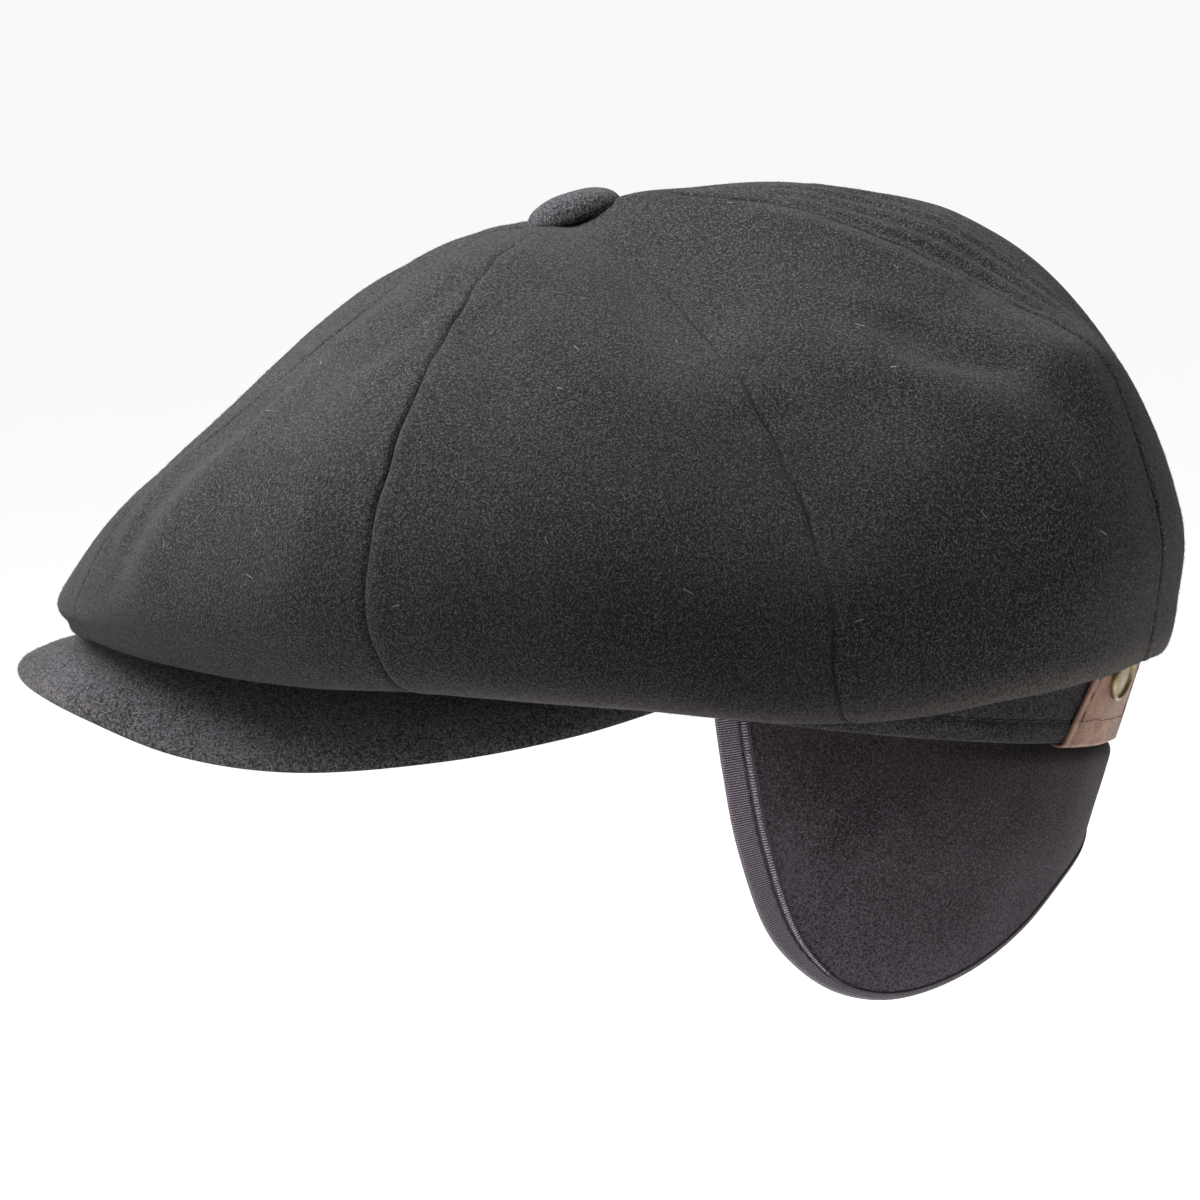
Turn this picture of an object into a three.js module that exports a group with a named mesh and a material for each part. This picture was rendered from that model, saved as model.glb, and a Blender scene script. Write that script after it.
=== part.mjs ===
// A wool eight-panel flat cap with a peak, a covered button and a fold-down ear and neck flap.
// Millimetres, +Z up. The peak points to -Y and the wearer's left ear is at +X. The origin is
// the middle of the head opening, level with the band's lower edge over the ears.
// Angles run round the cap from the front, 0, over the wearer's left, 90, to the back, 180.
import * as THREE from "three";

const degree = Math.PI / 180;
const gap = 0.3; // between neighbouring pieces

const head = { halfLength: 98, halfWidth: 79, egg: 0.03, tilt: 7.5 };
const band = { wall: 2.2, height: 23, flare: 0.16, frontLift: 2.4, facets: 72 };
const hub = { y: -32, z: 111.2 };
const rim = { centreY: -21, halfLength: 137.5, halfWidth: 121, pull: 2 };
const crown = {
  wall: 2,
  panels: 8,
  panelStep: 45,
  panelColumns: 9,
  rows: 20,
  firstPlace: 0.5,
  bow: 5,
  turnIn: 0.22,
  turnUp: 0.32,
  sag: 1,
  frontSag: 2.5,
  seatGap: 1.2,
  seamDepth: 1.3,
};

// The crown's outer face, one row for each section, mirrored on the wearer's right: its height at
// 12, 40, 70 and 90 % of the way out from the button and at the rim, then the height of the turned
// under edge, how far in from the rim that edge is, and how far the rim stands out of its oval.
const sections = table(
  ["angle", "z12", "z40", "z70", "z90", "rimZ", "lowZ", "lowIn", "rimOut"],
  [
    [0, 110, 95.6, 62.2, 38.2, 22, 12.8, 6, -1.5],
    [22.5, 110, 94.6, 65.4, 44, 24, 13, 8, 1],
    [45, 110.5, 101.5, 75, 53.5, 30, 9.2, 12, 2],
    [67.5, 111, 104, 82.5, 60.5, 35, 7.6, 15, 3],
    [90, 110.6, 101.5, 81, 56.5, 32.5, 5.4, 14, 0.5],
    [112.5, 111.8, 98.5, 78.5, 53, 31, 0.8, 11, 0],
    [135, 115, 105.5, 86, 67, 37, 6, 8.5, 5],
    [157.5, 118, 115.5, 97.5, 80, 43, 11.5, 5, 1.5],
    [180, 117.5, 121.8, 107.8, 77, 42, 11.5, 3, -1.5],
  ],
);
const shares = [0, 0.12, 0.4, 0.7, 0.9, 1]; // how far out each height above is taken
const clothLength = [0, 16, 54, 96, 129, 150, 167, 181, 195, 209]; // from the button to each place

// The dents (height below 0) and rolls (above 0) in the cloth: both ends of each as an angle and a
// place on the profile (0 button, 5 rim), its half width and its height.
const folds = table(
  ["fromAngle", "fromPlace", "toAngle", "toPlace", "halfWidth", "height"],
  [
    [33, 2.2, 30, 4.6, 9, -1.6], // front left valley
    [44, 2.6, 38, 4.6, 9, 1.2], // roll beside it
    [61, 3.1, 60, 4.9, 8, 0.9], // roll before the ear seam
    [77, 2.4, 75, 4.1, 9, -0.8], // valley behind the ear seam
    [140, 3.0, 146, 4.0, 10, -1.3], // dent in the back shoulder
    [118, 3.6, 131, 4.9, 17, -1.6], // broad hollow over the ear
    [150, 3.8, 160, 4.0, 10, 1.4], // swelling behind it
    [152, 2.0, 153, 4.1, 7, 1.1], // roll along the back seam
    [176, 2.6, 172, 4.1, 8, -1.7], // crease beside it
    [180, 2.35, 168, 2.4, 12, 1.0], // swelling of the back's top
    [121, 2.6, 134, 3.1, 10, 1.0], // roll behind the ear
    [127, 3.5, 134, 4.1, 11, -1.3], // dent under it
    [94, 4.8, 106, 4.8, 15, -0.9], // slack over the ear
    [-32, 2.5, -33, 4.6, 9, -1.3],
    [-43, 2.8, -41, 4.6, 9, 1.1],
    [-116, 2.5, -125, 3.4, 10, 0.9],
    [-139, 3.4, -147, 4.2, 12, -1.9],
    [-154, 2.2, -153, 4.1, 8, 1.0],
    [-88, 4.8, -103, 4.8, 15, -0.9],
  ],
);

// The lower outer edge of the peak, one row every 15 degrees from its middle to its end.
const peakEdge = table(
  ["x", "y", "z"],
  [
    [0, -168, 1],
    [30, -163.4, -0.8],
    [56, -148.6, -5.8],
    [75, -124.5, -11.3],
    [86, -96, -13.7],
    [89.5, -62, -10.8],
    [88.5, -32, -5.2],
    [84.5, -10, 1],
  ],
);
const peak = { end: 84, thick: 3.4, arch: 4, archEnd: 1.5, rootGap: 0.4, nose: 1.5, along: 34, across: 6 };

// The outline of the flap, from its front corner over the ear to the middle of the back.
const flapEdge = table(
  ["angle", "z"],
  [
    [90, 3],
    [92.1, -13],
    [94.7, -32],
    [99.3, -51],
    [105.7, -62],
    [114.4, -69],
    [125, -71],
    [137, -66.5],
    [150, -57.3],
    [163, -48],
    [180, -44],
  ],
);
const flap = {
  thick: 2.4,
  topClear: 0.35,
  clear: 2.4,
  rise: 12,
  lean: 0.0042,
  backLean: 0.3,
  spring: 5.3,
  springLength: 4,
  backFrom: 115,
  backTo: 150,
  fan: 1.15,
  along: 40,
  down: 7,
};
const binding = { thick: 0.8, clear: 0.6, along: 46, widths: [7, 7, 7, 6.6, 5.4, 3.6, 2.4, 1.6, 1.4, 1.4, 1.4] };

const tab = { from: 147, to: 170, height: 20, thick: 1.3, tuck: 1.5, columns: 8 };
const stud = { angle: 159.5, up: 16.3, width: 10.6, height: 12, thick: 1.6, sides: 20 };
const button = { radius: 11.7, thick: 5, tilt: 15, lift: 3.2, shankRadius: 1.8, shank: 6, sides: 28 };

const cloth = (color, roughness = 0.95) => new THREE.MeshStandardMaterial({ color, roughness, metalness: 0 });
const wool = cloth(0x38383b);
const felt = cloth(0x38333a);
const ribbon = cloth(0x39343d, 0.8);
const leather = cloth(0x8f7462, 0.6);
const brass = new THREE.MeshStandardMaterial({ color: 0xa2937b, roughness: 0.35, metalness: 1 });

function table(columns, rows) {
  return rows.map((row) => Object.fromEntries(columns.map((name, i) => [name, row[i]])));
}

const clamp = (value, low, high) => Math.min(Math.max(value, low), high);
const range = (count) => Array.from({ length: count + 1 }, (_, i) => i / count);
const wrap = (angle) => ((((angle + 180) % 360) + 360) % 360) - 180;

// A uniform Catmull-Rom curve through a list of numbers, its end values repeated.
function through(values, place) {
  const last = values.length - 1;
  const i = clamp(Math.floor(place), 0, last - 1);
  const f = place - i;
  const [a, b, c, d] = [i - 1, i, i + 1, i + 2].map((k) => values[clamp(k, 0, last)]);
  const bend = 2 * a - 5 * b + 4 * c - d;
  return 0.5 * (2 * b + (c - a) * f + bend * f ** 2 + (3 * b - a - 3 * c + d) * f ** 3);
}

function throughPoints(points, place) {
  const [x, y, z] = ["x", "y", "z"].map((axis) => through(points.map((point) => point[axis]), place));
  return new THREE.Vector3(x, y, z);
}

// The section at any angle, read from the mirrored table.
function sectionAt(angle) {
  const rows = [sections[1], ...sections, sections.at(-2)];
  const place = Math.abs(wrap(angle)) / sections[1].angle + 1;
  return Object.fromEntries(Object.keys(rows[0]).map((name) => [name, through(rows.map((r) => r[name]), place)]));
}

// A point of an oval round the head: its half axes grown by `out`.
function headOval(angle, out) {
  const [s, c] = [Math.sin(angle * degree), Math.cos(angle * degree)];
  return new THREE.Vector2((head.halfWidth + out) * s * (1 - head.egg * c), -(head.halfLength + out) * c);
}

function headOut(angle) {
  const s = Math.sin(angle * degree) / head.halfWidth;
  const c = Math.cos(angle * degree) / head.halfLength;
  return new THREE.Vector3(s, -c, 0).normalize();
}

const slope = Math.tan(head.tilt * degree);
const edgeZ = (angle, y) => -y * slope + band.frontLift * Math.max(Math.cos(angle * degree), 0) ** 2;

// A point of the band: `up` from its lower edge and `out` from its inner face.
function bandPoint(angle, up, out) {
  const plan = headOval(angle, out);
  const rise = new THREE.Vector3(0, Math.sin(head.tilt * degree), Math.cos(head.tilt * degree));
  rise.addScaledVector(headOut(angle), band.flare);
  return new THREE.Vector3(plan.x, plan.y, edgeZ(angle, plan.y)).addScaledVector(rise, up);
}

function rimPlan(angle, section) {
  const turned = (angle - rim.pull * Math.sin(angle * degree)) * degree;
  const plan = new THREE.Vector2(rim.halfWidth * Math.sin(turned), -rim.halfLength * Math.cos(turned));
  plan.setLength(plan.length() + section.rimOut);
  return plan.add(new THREE.Vector2(0, rim.centreY));
}

// The profile of the crown at an angle: button, four places on the dome, rim, the turn under it,
// the lowest edge, the underside and the seat on the band's top.
function crownProfile(angle) {
  const section = sectionAt(angle);
  const rimPoint = rimPlan(angle, section);
  const centre = new THREE.Vector2(0, hub.y);
  const [s, c] = [Math.sin(angle * degree), Math.cos(angle * degree)];
  const heights = [hub.z, section.z12, section.z40, section.z70, section.z90, section.rimZ];
  const leftBow = s > 0 ? crown.bow * s * s * clamp(0.4 - c, 0, 1) : 0;
  const dome = shares.map((share, k) => {
    const plan = centre.clone().lerp(rimPoint, share);
    return new THREE.Vector3(plan.x, plan.y - leftBow * Math.sin(Math.PI * share), heights[k]);
  });
  const seat = bandPoint(angle, band.height + crown.seatGap, band.wall / 2);
  const inward = new THREE.Vector2(seat.x, seat.y).sub(rimPoint).setLength(section.lowIn);
  const low = new THREE.Vector3(rimPoint.x + inward.x, rimPoint.y + inward.y, section.lowZ);
  const turn = dome[5].clone().lerp(low, crown.turnIn);
  turn.z = THREE.MathUtils.lerp(section.lowZ, section.rimZ, crown.turnUp);
  const under = low.clone().lerp(seat, 0.5);
  under.z -= crown.sag + crown.frontSag * clamp(c, 0, 1);
  return [...dome, turn, low, under, seat];
}

const lastPlace = 9;
const crownPoint = (angle, place) => throughPoints(crownProfile(angle), clamp(place, 0, lastPlace));

// The directions round the crown and out of it, from two short steps over its surface.
function crownFrame(angle, place) {
  const [turn, step] = [0.4, 0.02];
  const round = crownPoint(angle + turn, place).sub(crownPoint(angle - turn, place)).normalize();
  const down = crownPoint(angle, place + step).sub(crownPoint(angle, Math.max(place - step, step)));
  return { round, out: down.cross(round).normalize() };
}

function lengthTo(place) {
  const i = clamp(Math.floor(place), 0, lastPlace - 1);
  return THREE.MathUtils.lerp(clothLength[i], clothLength[i + 1], place - i);
}

// Dents and rolls add up, each a bell curve of the distance from the line between its two ends.
function foldHeight(angle, place, point) {
  const perDegree = Math.hypot(point.x, point.y - hub.y) * degree;
  return folds.reduce((sum, fold) => {
    const from = new THREE.Vector2(wrap(angle - fold.fromAngle) * perDegree, lengthTo(place) - lengthTo(fold.fromPlace));
    const line = new THREE.Vector2((fold.toAngle - fold.fromAngle) * perDegree, lengthTo(fold.toPlace) - lengthTo(fold.fromPlace));
    const share = clamp(from.dot(line) / line.lengthSq(), 0, 1);
    const distance = from.addScaledVector(line, -share).length();
    return sum + fold.height * Math.exp(-((distance / fold.halfWidth) ** 2));
  }, 0);
}

// Two facing grids of points, `front` outside and `back` inside, closed along their edges into one
// body. A ring joins its last column to its first.
function sheet(front, back, ring = false) {
  const [columns, rows] = [front.length, front[0].length];
  const points = [...front.flat(), ...back.flat()];
  const at = (side, i, j) => side * columns * rows + (i % columns) * rows + j;
  const index = [];
  const quad = (a, b, c, d) => index.push(a, b, c, a, c, d);
  const spans = ring ? columns : columns - 1;
  for (let i = 0; i < spans; i++) {
    for (let j = 0; j < rows - 1; j++) {
      quad(at(0, i, j), at(0, i, j + 1), at(0, i + 1, j + 1), at(0, i + 1, j));
      quad(at(1, i, j), at(1, i + 1, j), at(1, i + 1, j + 1), at(1, i, j + 1));
    }
    quad(at(0, i, 0), at(0, i + 1, 0), at(1, i + 1, 0), at(1, i, 0));
    quad(at(0, i + 1, rows - 1), at(0, i, rows - 1), at(1, i, rows - 1), at(1, i + 1, rows - 1));
  }
  for (let j = 0; j < rows - 1 && !ring; j++) {
    quad(at(0, 0, j + 1), at(0, 0, j), at(1, 0, j), at(1, 0, j + 1));
    quad(at(0, columns - 1, j + 1), at(1, columns - 1, j + 1), at(1, columns - 1, j), at(0, columns - 1, j));
  }
  const geometry = new THREE.BufferGeometry();
  geometry.setAttribute("position", new THREE.Float32BufferAttribute(points.flatMap((p) => p.toArray()), 3));
  geometry.setIndex(index);
  geometry.computeVertexNormals();
  return geometry;
}

const group = new THREE.Group();

function add(name, geometry, material) {
  const mesh = new THREE.Mesh(geometry, material);
  mesh.name = name;
  group.add(mesh);
  return mesh;
}

// One panel of the crown between two seams, its edges drawn in at the seams and half a gap back.
function crownPanel(centre) {
  const first = centre - crown.panelStep / 2;
  const front = range(crown.panelColumns).map(() => []);
  const back = front.map(() => []);
  for (const share of range(crown.rows)) {
    const place = THREE.MathUtils.lerp(crown.firstPlace, lastPlace, share);
    const width = crownPoint(first, place).distanceTo(crownPoint(first + crown.panelStep, place));
    const fade = clamp(lastPlace - 1 - place, 0, 1);
    range(crown.panelColumns).forEach((across, i) => {
      const angle = first + crown.panelStep * across;
      const point = crownPoint(angle, place);
      const frame = crownFrame(angle, place);
      const atSeam = (across === 0) - (across === 1);
      const pulled = atSeam ? crown.seamDepth * clamp(width / 15, 0, 1) : 0;
      const height = (foldHeight(angle, place, point) - pulled) * fade;
      point.addScaledVector(frame.round, (atSeam * gap) / 2);
      front[i].push(point.clone().addScaledVector(frame.out, height));
      back[i].push(point.clone().addScaledVector(frame.out, height - crown.wall));
    });
  }
  return sheet(front, back);
}

const panelNames = ["front", "front_left", "left", "back_left", "back", "back_right", "right", "front_right"];
panelNames.forEach((name, k) => add(`crown_panel_${name}`, crownPanel(k * crown.panelStep), wool));

// The band is one ring round the head.
function headBand() {
  const angles = range(band.facets).slice(0, -1).map((share) => share * 360);
  const heights = [0, band.height];
  const wall = (out) => angles.map((angle) => heights.map((up) => bandPoint(angle, up, out)).reverse());
  return sheet(wall(band.wall), wall(0), true);
}

add("head_band", headBand(), wool);

// A point of the peak: `side` -1 to 1 along it, `share` 0 at the band to 1 at its outer edge.
function peakPoint(side, share, drop) {
  const rows = [{ ...peakEdge[1], x: -peakEdge[1].x }, ...peakEdge];
  const edge = throughPoints(rows, Math.abs(side) * (peakEdge.length - 1) + 1);
  edge.x *= Math.sign(side) || 1;
  edge.z += peak.thick - drop;
  const arch = THREE.MathUtils.lerp(peak.arch, peak.archEnd, Math.abs(side));
  const point = bandPoint(side * peak.end, peak.thick - drop, band.wall + peak.rootGap).lerp(edge, share);
  point.z += arch * Math.sin(Math.PI * share);
  return point;
}

function peakSolid() {
  const width = (side) => peakPoint(side, 0, 0).distanceTo(peakPoint(side, 1, 0));
  const face = (drop, noseDrop) =>
    range(peak.along).map((share) => {
      const side = 1 - 2 * share;
      const nose = Math.min(peak.nose / width(side), 0.3);
      const shares = range(peak.across).map((across) => across * (1 - nose));
      return [...shares.map((across) => peakPoint(side, across, drop)), peakPoint(side, 1, noseDrop)];
    });
  return sheet(face(0, peak.thick * 0.4).reverse(), face(peak.thick, peak.thick * 0.6).reverse());
}

add("peak", peakSolid(), wool);

// How far the flap leans in at `below` its top: over the ears in a growing curve, and at the back it
// first springs out round the band's edge, then leans in evenly.
function flapLean(angle, below) {
  const back = flap.backLean * below - flap.spring * (1 - Math.exp(-((below / flap.springLength) ** 2)));
  const share = THREE.MathUtils.smoothstep(Math.abs(wrap(angle)), flap.backFrom, flap.backTo);
  return THREE.MathUtils.lerp(flap.lean * below ** 2, back, share);
}

// A point of the flap's sheet at an angle and a height, `deep` inside its outer face.
function flapPoint(angle, z, deep) {
  const above = z - edgeZ(angle, headOval(angle, 0).y);
  const clear = THREE.MathUtils.lerp(flap.clear, flap.topClear, clamp(above / flap.rise, 0, 1));
  const plan = headOval(angle, -clear - deep - flapLean(angle, Math.max(-above, 0)));
  const out = headOut(angle).multiplyScalar(band.flare * Math.max(above, 0));
  return new THREE.Vector3(plan.x + out.x, plan.y + out.y + slope * Math.max(above, 0), z);
}

// The outline of the whole flap, `side` 0 at the left front corner and 2 at the right one.
function flapOutline(side) {
  const share = side <= 1 ? side : 2 - side;
  const place = share * (flapEdge.length - 1);
  const [angle, z] = ["angle", "z"].map((name) => through(flapEdge.map((row) => row[name]), place));
  return { angle: side <= 1 ? angle : 360 - angle, z, share };
}

// Columns fan from a line inside the band, `rise` above its lower edge, down to the outline. The
// second row lies at the band's lower edge, where the flap starts to hang free.
function flapSolid() {
  const above = (angle, z) => z - edgeZ(angle, headOval(angle, 0).y);
  const face = (deep) =>
    range(flap.along).map((along) => {
      const edge = flapOutline(along * 2);
      const fanned = 90 + 90 * edge.share ** flap.fan;
      const top = along <= 0.5 ? fanned : 360 - fanned;
      const topZ = flap.rise - above(top, 0);
      const hem = Math.min(flap.rise / (flap.rise - above(edge.angle, edge.z)), 0.5);
      const shares = [0, ...range(flap.down - 1).map((down) => THREE.MathUtils.lerp(hem, 1, down))];
      return shares.map((share) => {
        const angle = THREE.MathUtils.lerp(top, edge.angle, share);
        return flapPoint(angle, THREE.MathUtils.lerp(topZ, edge.z, share), deep);
      });
    });
  return sheet(face(0), face(flap.thick));
}

add("ear_flap", flapSolid(), felt);

// The binding folds over the flap's edge: at each place along the outline it has a leg on either
// face, `reach` in from the edge, measured square to the outline within the flap's sheet.
function bindingSolid() {
  const outside = binding.clear + binding.thick;
  const section = (along) => {
    const side = along * 2;
    const edge = flapOutline(side);
    const [before, after] = [flapOutline(Math.max(side - 0.01, 0)), flapOutline(Math.min(side + 0.01, 2))];
    const perDegree = flapPoint(edge.angle + 0.5, edge.z, 0).distanceTo(flapPoint(edge.angle - 0.5, edge.z, 0));
    const run = new THREE.Vector2((after.angle - before.angle) * perDegree, after.z - before.z).normalize();
    const width = through(binding.widths, edge.share * (binding.widths.length - 1));
    const at = (reach, deep) => flapPoint(edge.angle - (run.y * reach) / perDegree, edge.z + run.x * reach, deep);
    const cup = (off) => [
      at(width, -off),
      at(0, -off),
      at(-off, flap.thick * 0.2),
      at(-off, flap.thick * 0.8),
      at(0, flap.thick + off),
      at(width, flap.thick + off),
    ];
    return { front: cup(outside), back: cup(binding.clear) };
  };
  const sections = range(binding.along).map(section);
  return sheet(sections.map((s) => s.front), sections.map((s) => s.back));
}

add("flap_binding", bindingSolid(), ribbon);

// The leather tab lies on the band's outer face and turns under its lower edge.
function tabSolid() {
  const off = gap + tab.thick;
  const section = (angle, outside) => [
    bandPoint(angle, tab.height, band.wall + outside),
    bandPoint(angle, 0, band.wall + outside),
    bandPoint(angle, -outside, band.wall + outside * 0.2),
    bandPoint(angle, -outside, -outside * 0.2),
    bandPoint(angle, 0, -outside),
    bandPoint(angle, tab.tuck, -outside),
  ];
  const angles = range(tab.columns).map((share) => THREE.MathUtils.lerp(tab.from, tab.to, share));
  return sheet(angles.map((angle) => section(angle, off)), angles.map((angle) => section(angle, gap)));
}

add("leather_tab", tabSolid(), leather);

// The oval stud is a shallow dome on the tab.
const studProfile = [[0, 0], [0.94, 0], [1, 0.2], [1, 0.45], [0.86, 0.82], [0.5, 1], [0, 1]];
const studGeometry = new THREE.LatheGeometry(studProfile.map(([r, h]) => new THREE.Vector2(r, h)), stud.sides);
studGeometry.scale(stud.width / 2, stud.thick, stud.height / 2);
const studMesh = add("tab_stud", studGeometry, brass);
const studSeat = bandPoint(stud.angle, stud.up, band.wall + gap + tab.thick + gap);
const bandRise = bandPoint(stud.angle, 1, 0).sub(bandPoint(stud.angle, 0, 0)).normalize();
const studX = new THREE.Vector3().crossVectors(headOut(stud.angle), bandRise).normalize();
const studFacing = new THREE.Vector3().crossVectors(bandRise, studX);
studMesh.quaternion.setFromRotationMatrix(new THREE.Matrix4().makeBasis(studX, studFacing, bandRise));
studMesh.position.copy(studSeat);

// The covered button caps the hub, leaning forward, its shank through the hole between the panels.
const buttonProfile = [
  [0, -button.shank],
  [button.shankRadius, -button.shank],
  [button.shankRadius, 0],
  [button.radius * 0.9, 0],
  [button.radius, button.thick * 0.26],
  [button.radius * 0.97, button.thick * 0.5],
  [button.radius * 0.84, button.thick * 0.76],
  [button.radius * 0.5, button.thick * 0.94],
  [0, button.thick],
];
const buttonGeometry = new THREE.LatheGeometry(buttonProfile.map(([r, h]) => new THREE.Vector2(r, h)), button.sides);
const buttonMesh = add("crown_button", buttonGeometry, wool);
buttonMesh.rotation.x = Math.PI / 2 + button.tilt * degree;
buttonMesh.position.set(0, hub.y, hub.z + button.lift);

export default group;
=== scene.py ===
import math

import bpy
import numpy as np
from mathutils import Matrix, Vector


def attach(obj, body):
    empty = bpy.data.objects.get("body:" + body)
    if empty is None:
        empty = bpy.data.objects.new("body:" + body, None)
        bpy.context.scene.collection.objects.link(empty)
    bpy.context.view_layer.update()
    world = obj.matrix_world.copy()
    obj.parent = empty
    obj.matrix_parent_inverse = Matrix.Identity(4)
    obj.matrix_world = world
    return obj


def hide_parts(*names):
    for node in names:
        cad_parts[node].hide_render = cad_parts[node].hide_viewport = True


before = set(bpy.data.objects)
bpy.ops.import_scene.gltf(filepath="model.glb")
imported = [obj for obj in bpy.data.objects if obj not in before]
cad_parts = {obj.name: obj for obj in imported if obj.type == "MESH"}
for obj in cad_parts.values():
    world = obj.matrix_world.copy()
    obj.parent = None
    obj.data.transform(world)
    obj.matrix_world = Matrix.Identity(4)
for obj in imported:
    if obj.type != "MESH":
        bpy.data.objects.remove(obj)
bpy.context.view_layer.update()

# Shapes are worked out in millimetres: the peak points to -y, the wearer's left ear is at +x and
# angles run in degrees from the front, 0, over the left ear, 90, to the back, 180.
mm = 0.001
degree = math.pi / 180


def unit(vectors):
    return vectors / np.maximum(np.linalg.norm(vectors, axis=-1, keepdims=True), 1e-9)


def mix(low, high, share):
    return low + (high - low) * share


def wrapped(angle):
    return (np.asarray(angle) + 180) % 360 - 180


def step(value, start, end):
    # a smooth rise from 0 at start to 1 at end
    share = np.clip((value - start) / (end - start), 0, 1)
    return share * share * (3 - 2 * share)


def bell(distance, halfWidth):
    return np.exp(-((distance / halfWidth) ** 2))


def through(rows, place):
    # a smooth curve through the rows at any array of places: a cubic between two rows, whose slope
    # at a row is half the step between that row's neighbours; the end rows are repeated
    rows = np.asarray(rows, float)
    place = np.asarray(place, float)
    last = len(rows) - 1
    i = np.clip(np.floor(place).astype(int), 0, last - 1)
    f = (place - i).reshape(place.shape + (1,) * (rows.ndim - 1))
    a, b, c, d = (rows[np.clip(i + k, 0, last)] for k in (-1, 0, 1, 2))
    return 0.5 * (2 * b + (c - a) * f + (2 * a - 5 * b + 4 * c - d) * f**2 + (3 * b - a - 3 * c + d) * f**3)


def ripple(points, size, seed, waves=10):
    # soft bumps about `size` across: the sum of sine waves that run in seeded directions
    random = np.random.default_rng(seed)
    ways = unit(random.normal(size=(waves, 3)))
    lengths = size * random.uniform(1.5, 2.7, waves)
    phases = random.uniform(0, 2 * np.pi, waves)
    return np.sin(points @ (ways.T * 2 * np.pi / lengths) + phases).sum(-1) / math.sqrt(waves)


def rounded(share):
    # how far a quarter-round edge falls back: 0 where it starts, 1 at its very end
    return 1 - np.sqrt(1 - np.clip(share, 0, 1) ** 2)


def walkedAlong(path):
    # the distance walked from the first point to each point of a path
    return np.append(0, np.cumsum(np.linalg.norm(np.diff(path, axis=0), axis=1)))


def gridNormals(grid):
    # the cross product of the steps along the rows and across the columns of a grid of points
    return unit(np.cross(np.gradient(grid, axis=1), np.gradient(grid, axis=0)))


def makeMesh(name, points, faces, uv=None, shades=None, smooth=True):
    # points in millimetres, faces as index rows, uv and shades given for each point
    mesh = bpy.data.meshes.new(name)
    mesh.from_pydata((np.asarray(points) * mm).tolist(), [], faces)
    corners = np.zeros(len(mesh.loops), np.int32)
    mesh.loops.foreach_get("vertex_index", corners)
    if uv is not None:
        layer = mesh.uv_layers.new(name="UVMap")
        layer.data.foreach_set("uv", (np.asarray(uv) * mm)[corners].astype(np.float32).ravel())
    for key, values in (shades or {}).items():
        mesh.attributes.new(key, "FLOAT", "POINT").data.foreach_set("value", np.asarray(values, np.float32))
    mesh.polygons.foreach_set("use_smooth", np.full(len(mesh.polygons), smooth))
    mesh.update()
    piece = bpy.data.objects.new(name, mesh)
    bpy.context.scene.collection.objects.link(piece)
    return piece


def gridFaces(columns, rows, ringed=False, offset=0, turned=False):
    # quads over a grid of points, the last column joined to the first where it is ringed
    i, j = np.meshgrid(np.arange(columns if ringed else columns - 1), np.arange(rows - 1), indexing="ij")
    right = (i + 1) % columns
    quads = np.stack([i * rows + j, i * rows + j + 1, right * rows + j + 1, right * rows + j], -1)
    quads = quads.reshape(-1, 4) + offset
    return quads[:, ::-1] if turned else quads


def stripFaces(first, second, ringed=False):
    # quads between two runs of points, outwards when second lies on the far side of first
    if ringed:
        first, second = np.append(first, first[0]), np.append(second, second[0])
    return np.stack([first[:-1], first[1:], second[1:], second[:-1]], -1)


def sheetPiece(name, front, back, ringed=False, uv=None, shades=None):
    # two facing grids of points, front outside and back inside, closed along their edges
    columns, rows = front.shape[:2]
    index = np.arange(columns * rows).reshape(columns, rows)
    inner = index + columns * rows
    faces = [
        gridFaces(columns, rows, ringed),
        gridFaces(columns, rows, ringed, columns * rows, turned=True),
        stripFaces(index[:, 0], inner[:, 0], ringed),
        stripFaces(inner[:, -1], index[:, -1], ringed),
    ]
    if not ringed:
        faces += [stripFaces(inner[0], index[0]), stripFaces(index[-1], inner[-1])]
    points = np.concatenate([front.reshape(-1, 3), back.reshape(-1, 3)])
    double = lambda values: np.concatenate([values.reshape(columns * rows, -1)] * 2)
    uv = None if uv is None else double(uv)
    shades = {key: double(values).ravel() for key, values in (shades or {}).items()}
    return makeMesh(name, points, np.concatenate(faces).tolist(), uv, shades)


def tubeFaces(count, rings, sides):
    # side quads and flat ends of `count` short tubes, each of rings × sides points
    ring, side = np.meshgrid(np.arange(rings - 1), np.arange(sides), indexing="ij")
    turn = (side + 1) % sides
    low, high = ring * sides, (ring + 1) * sides
    quads = np.stack([low + side, low + turn, high + turn, high + side], -1)
    starts = (np.arange(count) * rings * sides)[:, None, None]
    quads = (quads.reshape(1, -1, 4) + starts).reshape(-1, 4)
    near = np.arange(sides)[::-1] + starts[:, 0]
    far = np.arange(sides) + (rings - 1) * sides + starts[:, 0]
    return quads.tolist() + near.tolist() + far.tolist()


def turnedPiece(name, rings, ends, uv=None, shades=None):
    # rings of points, one for each row of a profile, closed by a point at the low and the high end
    columns, rows = rings.shape[:2]
    index = np.arange(columns * rows).reshape(columns, rows)
    after = np.roll(index, -1, 0)
    low, high = np.full(columns, columns * rows), np.full(columns, columns * rows + 1)
    faces = gridFaces(columns, rows, ringed=True).tolist()
    faces += np.stack([index[:, 0], after[:, 0], low], -1).tolist()
    faces += np.stack([after[:, -1], index[:, -1], high], -1).tolist()
    return makeMesh(name, np.concatenate([rings.reshape(-1, 3), ends]), faces, uv, shades)


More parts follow.
